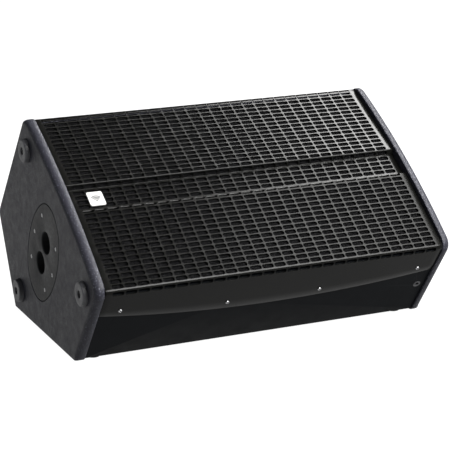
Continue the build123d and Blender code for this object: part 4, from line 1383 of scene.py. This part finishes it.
# name, place, aim, width and depth in metres, radiance, colour
SOFTBOXES = (
    ("upper_softbox", (2.0, 1.2, 3.0), (0.2, 0.3, 0.4), 1.7, 0.9, 68.0, (1.0, 0.995, 0.98)),
    ("lower_softbox", (1.7, -0.25, 3.0), (0.1, 0.0, 0.2), 2.0, 0.8, 30.0, (1.0, 0.995, 0.98)),
    ("fold_softbox", (1.0, -2.1, 2.2), (0.0, 0.1, 0.3), 2.4, 1.8, 62.0, (1.0, 0.995, 0.98)),
    ("side_fill", (-2.6, 0.2, 1.4), (-0.3, 0.1, 0.2), 1.6, 1.6, 2.2, (0.9, 0.94, 1.0)),
)


def stage_setup():
    """Pale floor, dim surroundings and soft lights."""
    floor_z = cad_box[0][2]
    mesh = bpy.data.meshes.new("floor")
    corners = [(x * FLOOR_HALF, y * FLOOR_HALF, floor_z) for x, y in ((-1, -1), (1, -1), (1, 1), (-1, 1))]
    mesh.from_pydata(corners, [], [(0, 1, 2, 3)])
    floor = bpy.data.objects.new("floor", mesh)
    bpy.context.scene.collection.objects.link(floor)
    floor_paint = material("floor_paint", (0.04, 0.04, 0.04), 0.9, specular=0.0)
    shader = floor_paint.node_tree.nodes["Principled BSDF"]
    shader.inputs["Emission Color"].default_value = (1, 1, 1, 1)
    shader.inputs["Emission Strength"].default_value = 1.0
    mesh.materials.append(floor_paint)
    world = bpy.data.worlds.new("studio")
    bpy.context.scene.world = world
    world.use_nodes = True
    background = world.node_tree.nodes["Background"]
    background.inputs["Color"].default_value = (1.0, 1.0, 1.0, 1.0)
    background.inputs["Strength"].default_value = WORLD_STRENGTH
    for name, place, aim, width, depth, radiance, colour in SOFTBOXES:
        data = bpy.data.lights.new(name, "AREA")
        data.shape = "RECTANGLE"
        data.size, data.size_y = width, depth
        data.energy = radiance * math.pi * width * depth
        data.color = colour
        lamp = bpy.data.objects.new(name, data)
        lamp.location = place
        lamp.rotation_euler = (Vector(aim) - Vector(place)).to_track_quat("-Z", "Y").to_euler()
        bpy.context.scene.collection.objects.link(lamp)


CAMERA_AZIMUTH, CAMERA_HEIGHT, CAMERA_ROLL = -25.12, 16.65, 0.57
CAMERA_DISTANCE, SENSOR_WIDTH, CLIP_END = 3033.0, 36.0, 60.0
CAMERA_TARGET = np.array([0.0, 170.0, 150.0])
AIM_RIGHT, AIM_UP = 23.0, -11.25
LENS = 144.48


def camera_setup():
    """Camera on the object's left, low and far away."""
    az, el, roll = (math.radians(v) for v in (CAMERA_AZIMUTH, CAMERA_HEIGHT, CAMERA_ROLL))
    back = np.array([math.sin(az) * math.cos(el), -math.cos(az) * math.cos(el), math.sin(el)])
    right = unit(np.cross(-back, [0.0, 0.0, 1.0]))
    up = np.cross(right, -back)
    tilted_right = math.cos(roll) * right + math.sin(roll) * up
    tilted_up = -math.sin(roll) * right + math.cos(roll) * up
    place = CAMERA_TARGET + back * CAMERA_DISTANCE
    aim = CAMERA_TARGET + tilted_right * AIM_RIGHT + tilted_up * AIM_UP
    view_back = unit(place - aim)
    side = unit(np.cross(tilted_up, view_back))
    top = np.cross(view_back, side)
    data = bpy.data.cameras.new("camera")
    data.lens = LENS
    data.sensor_width = SENSOR_WIDTH
    data.clip_end = CLIP_END
    camera = bpy.data.objects.new("camera", data)
    location = to_row(place)
    camera.matrix_world = Matrix([
        (side[0], top[0], view_back[0], location[0]),
        (side[1], top[1], view_back[1], location[1]),
        (side[2], top[2], view_back[2], location[2]),
        (0.0, 0.0, 0.0, 1.0),
    ])
    bpy.context.scene.collection.objects.link(camera)
    bpy.context.scene.camera = camera


stage_setup()
camera_setup()
bpy.context.scene.view_settings.view_transform = "Standard"
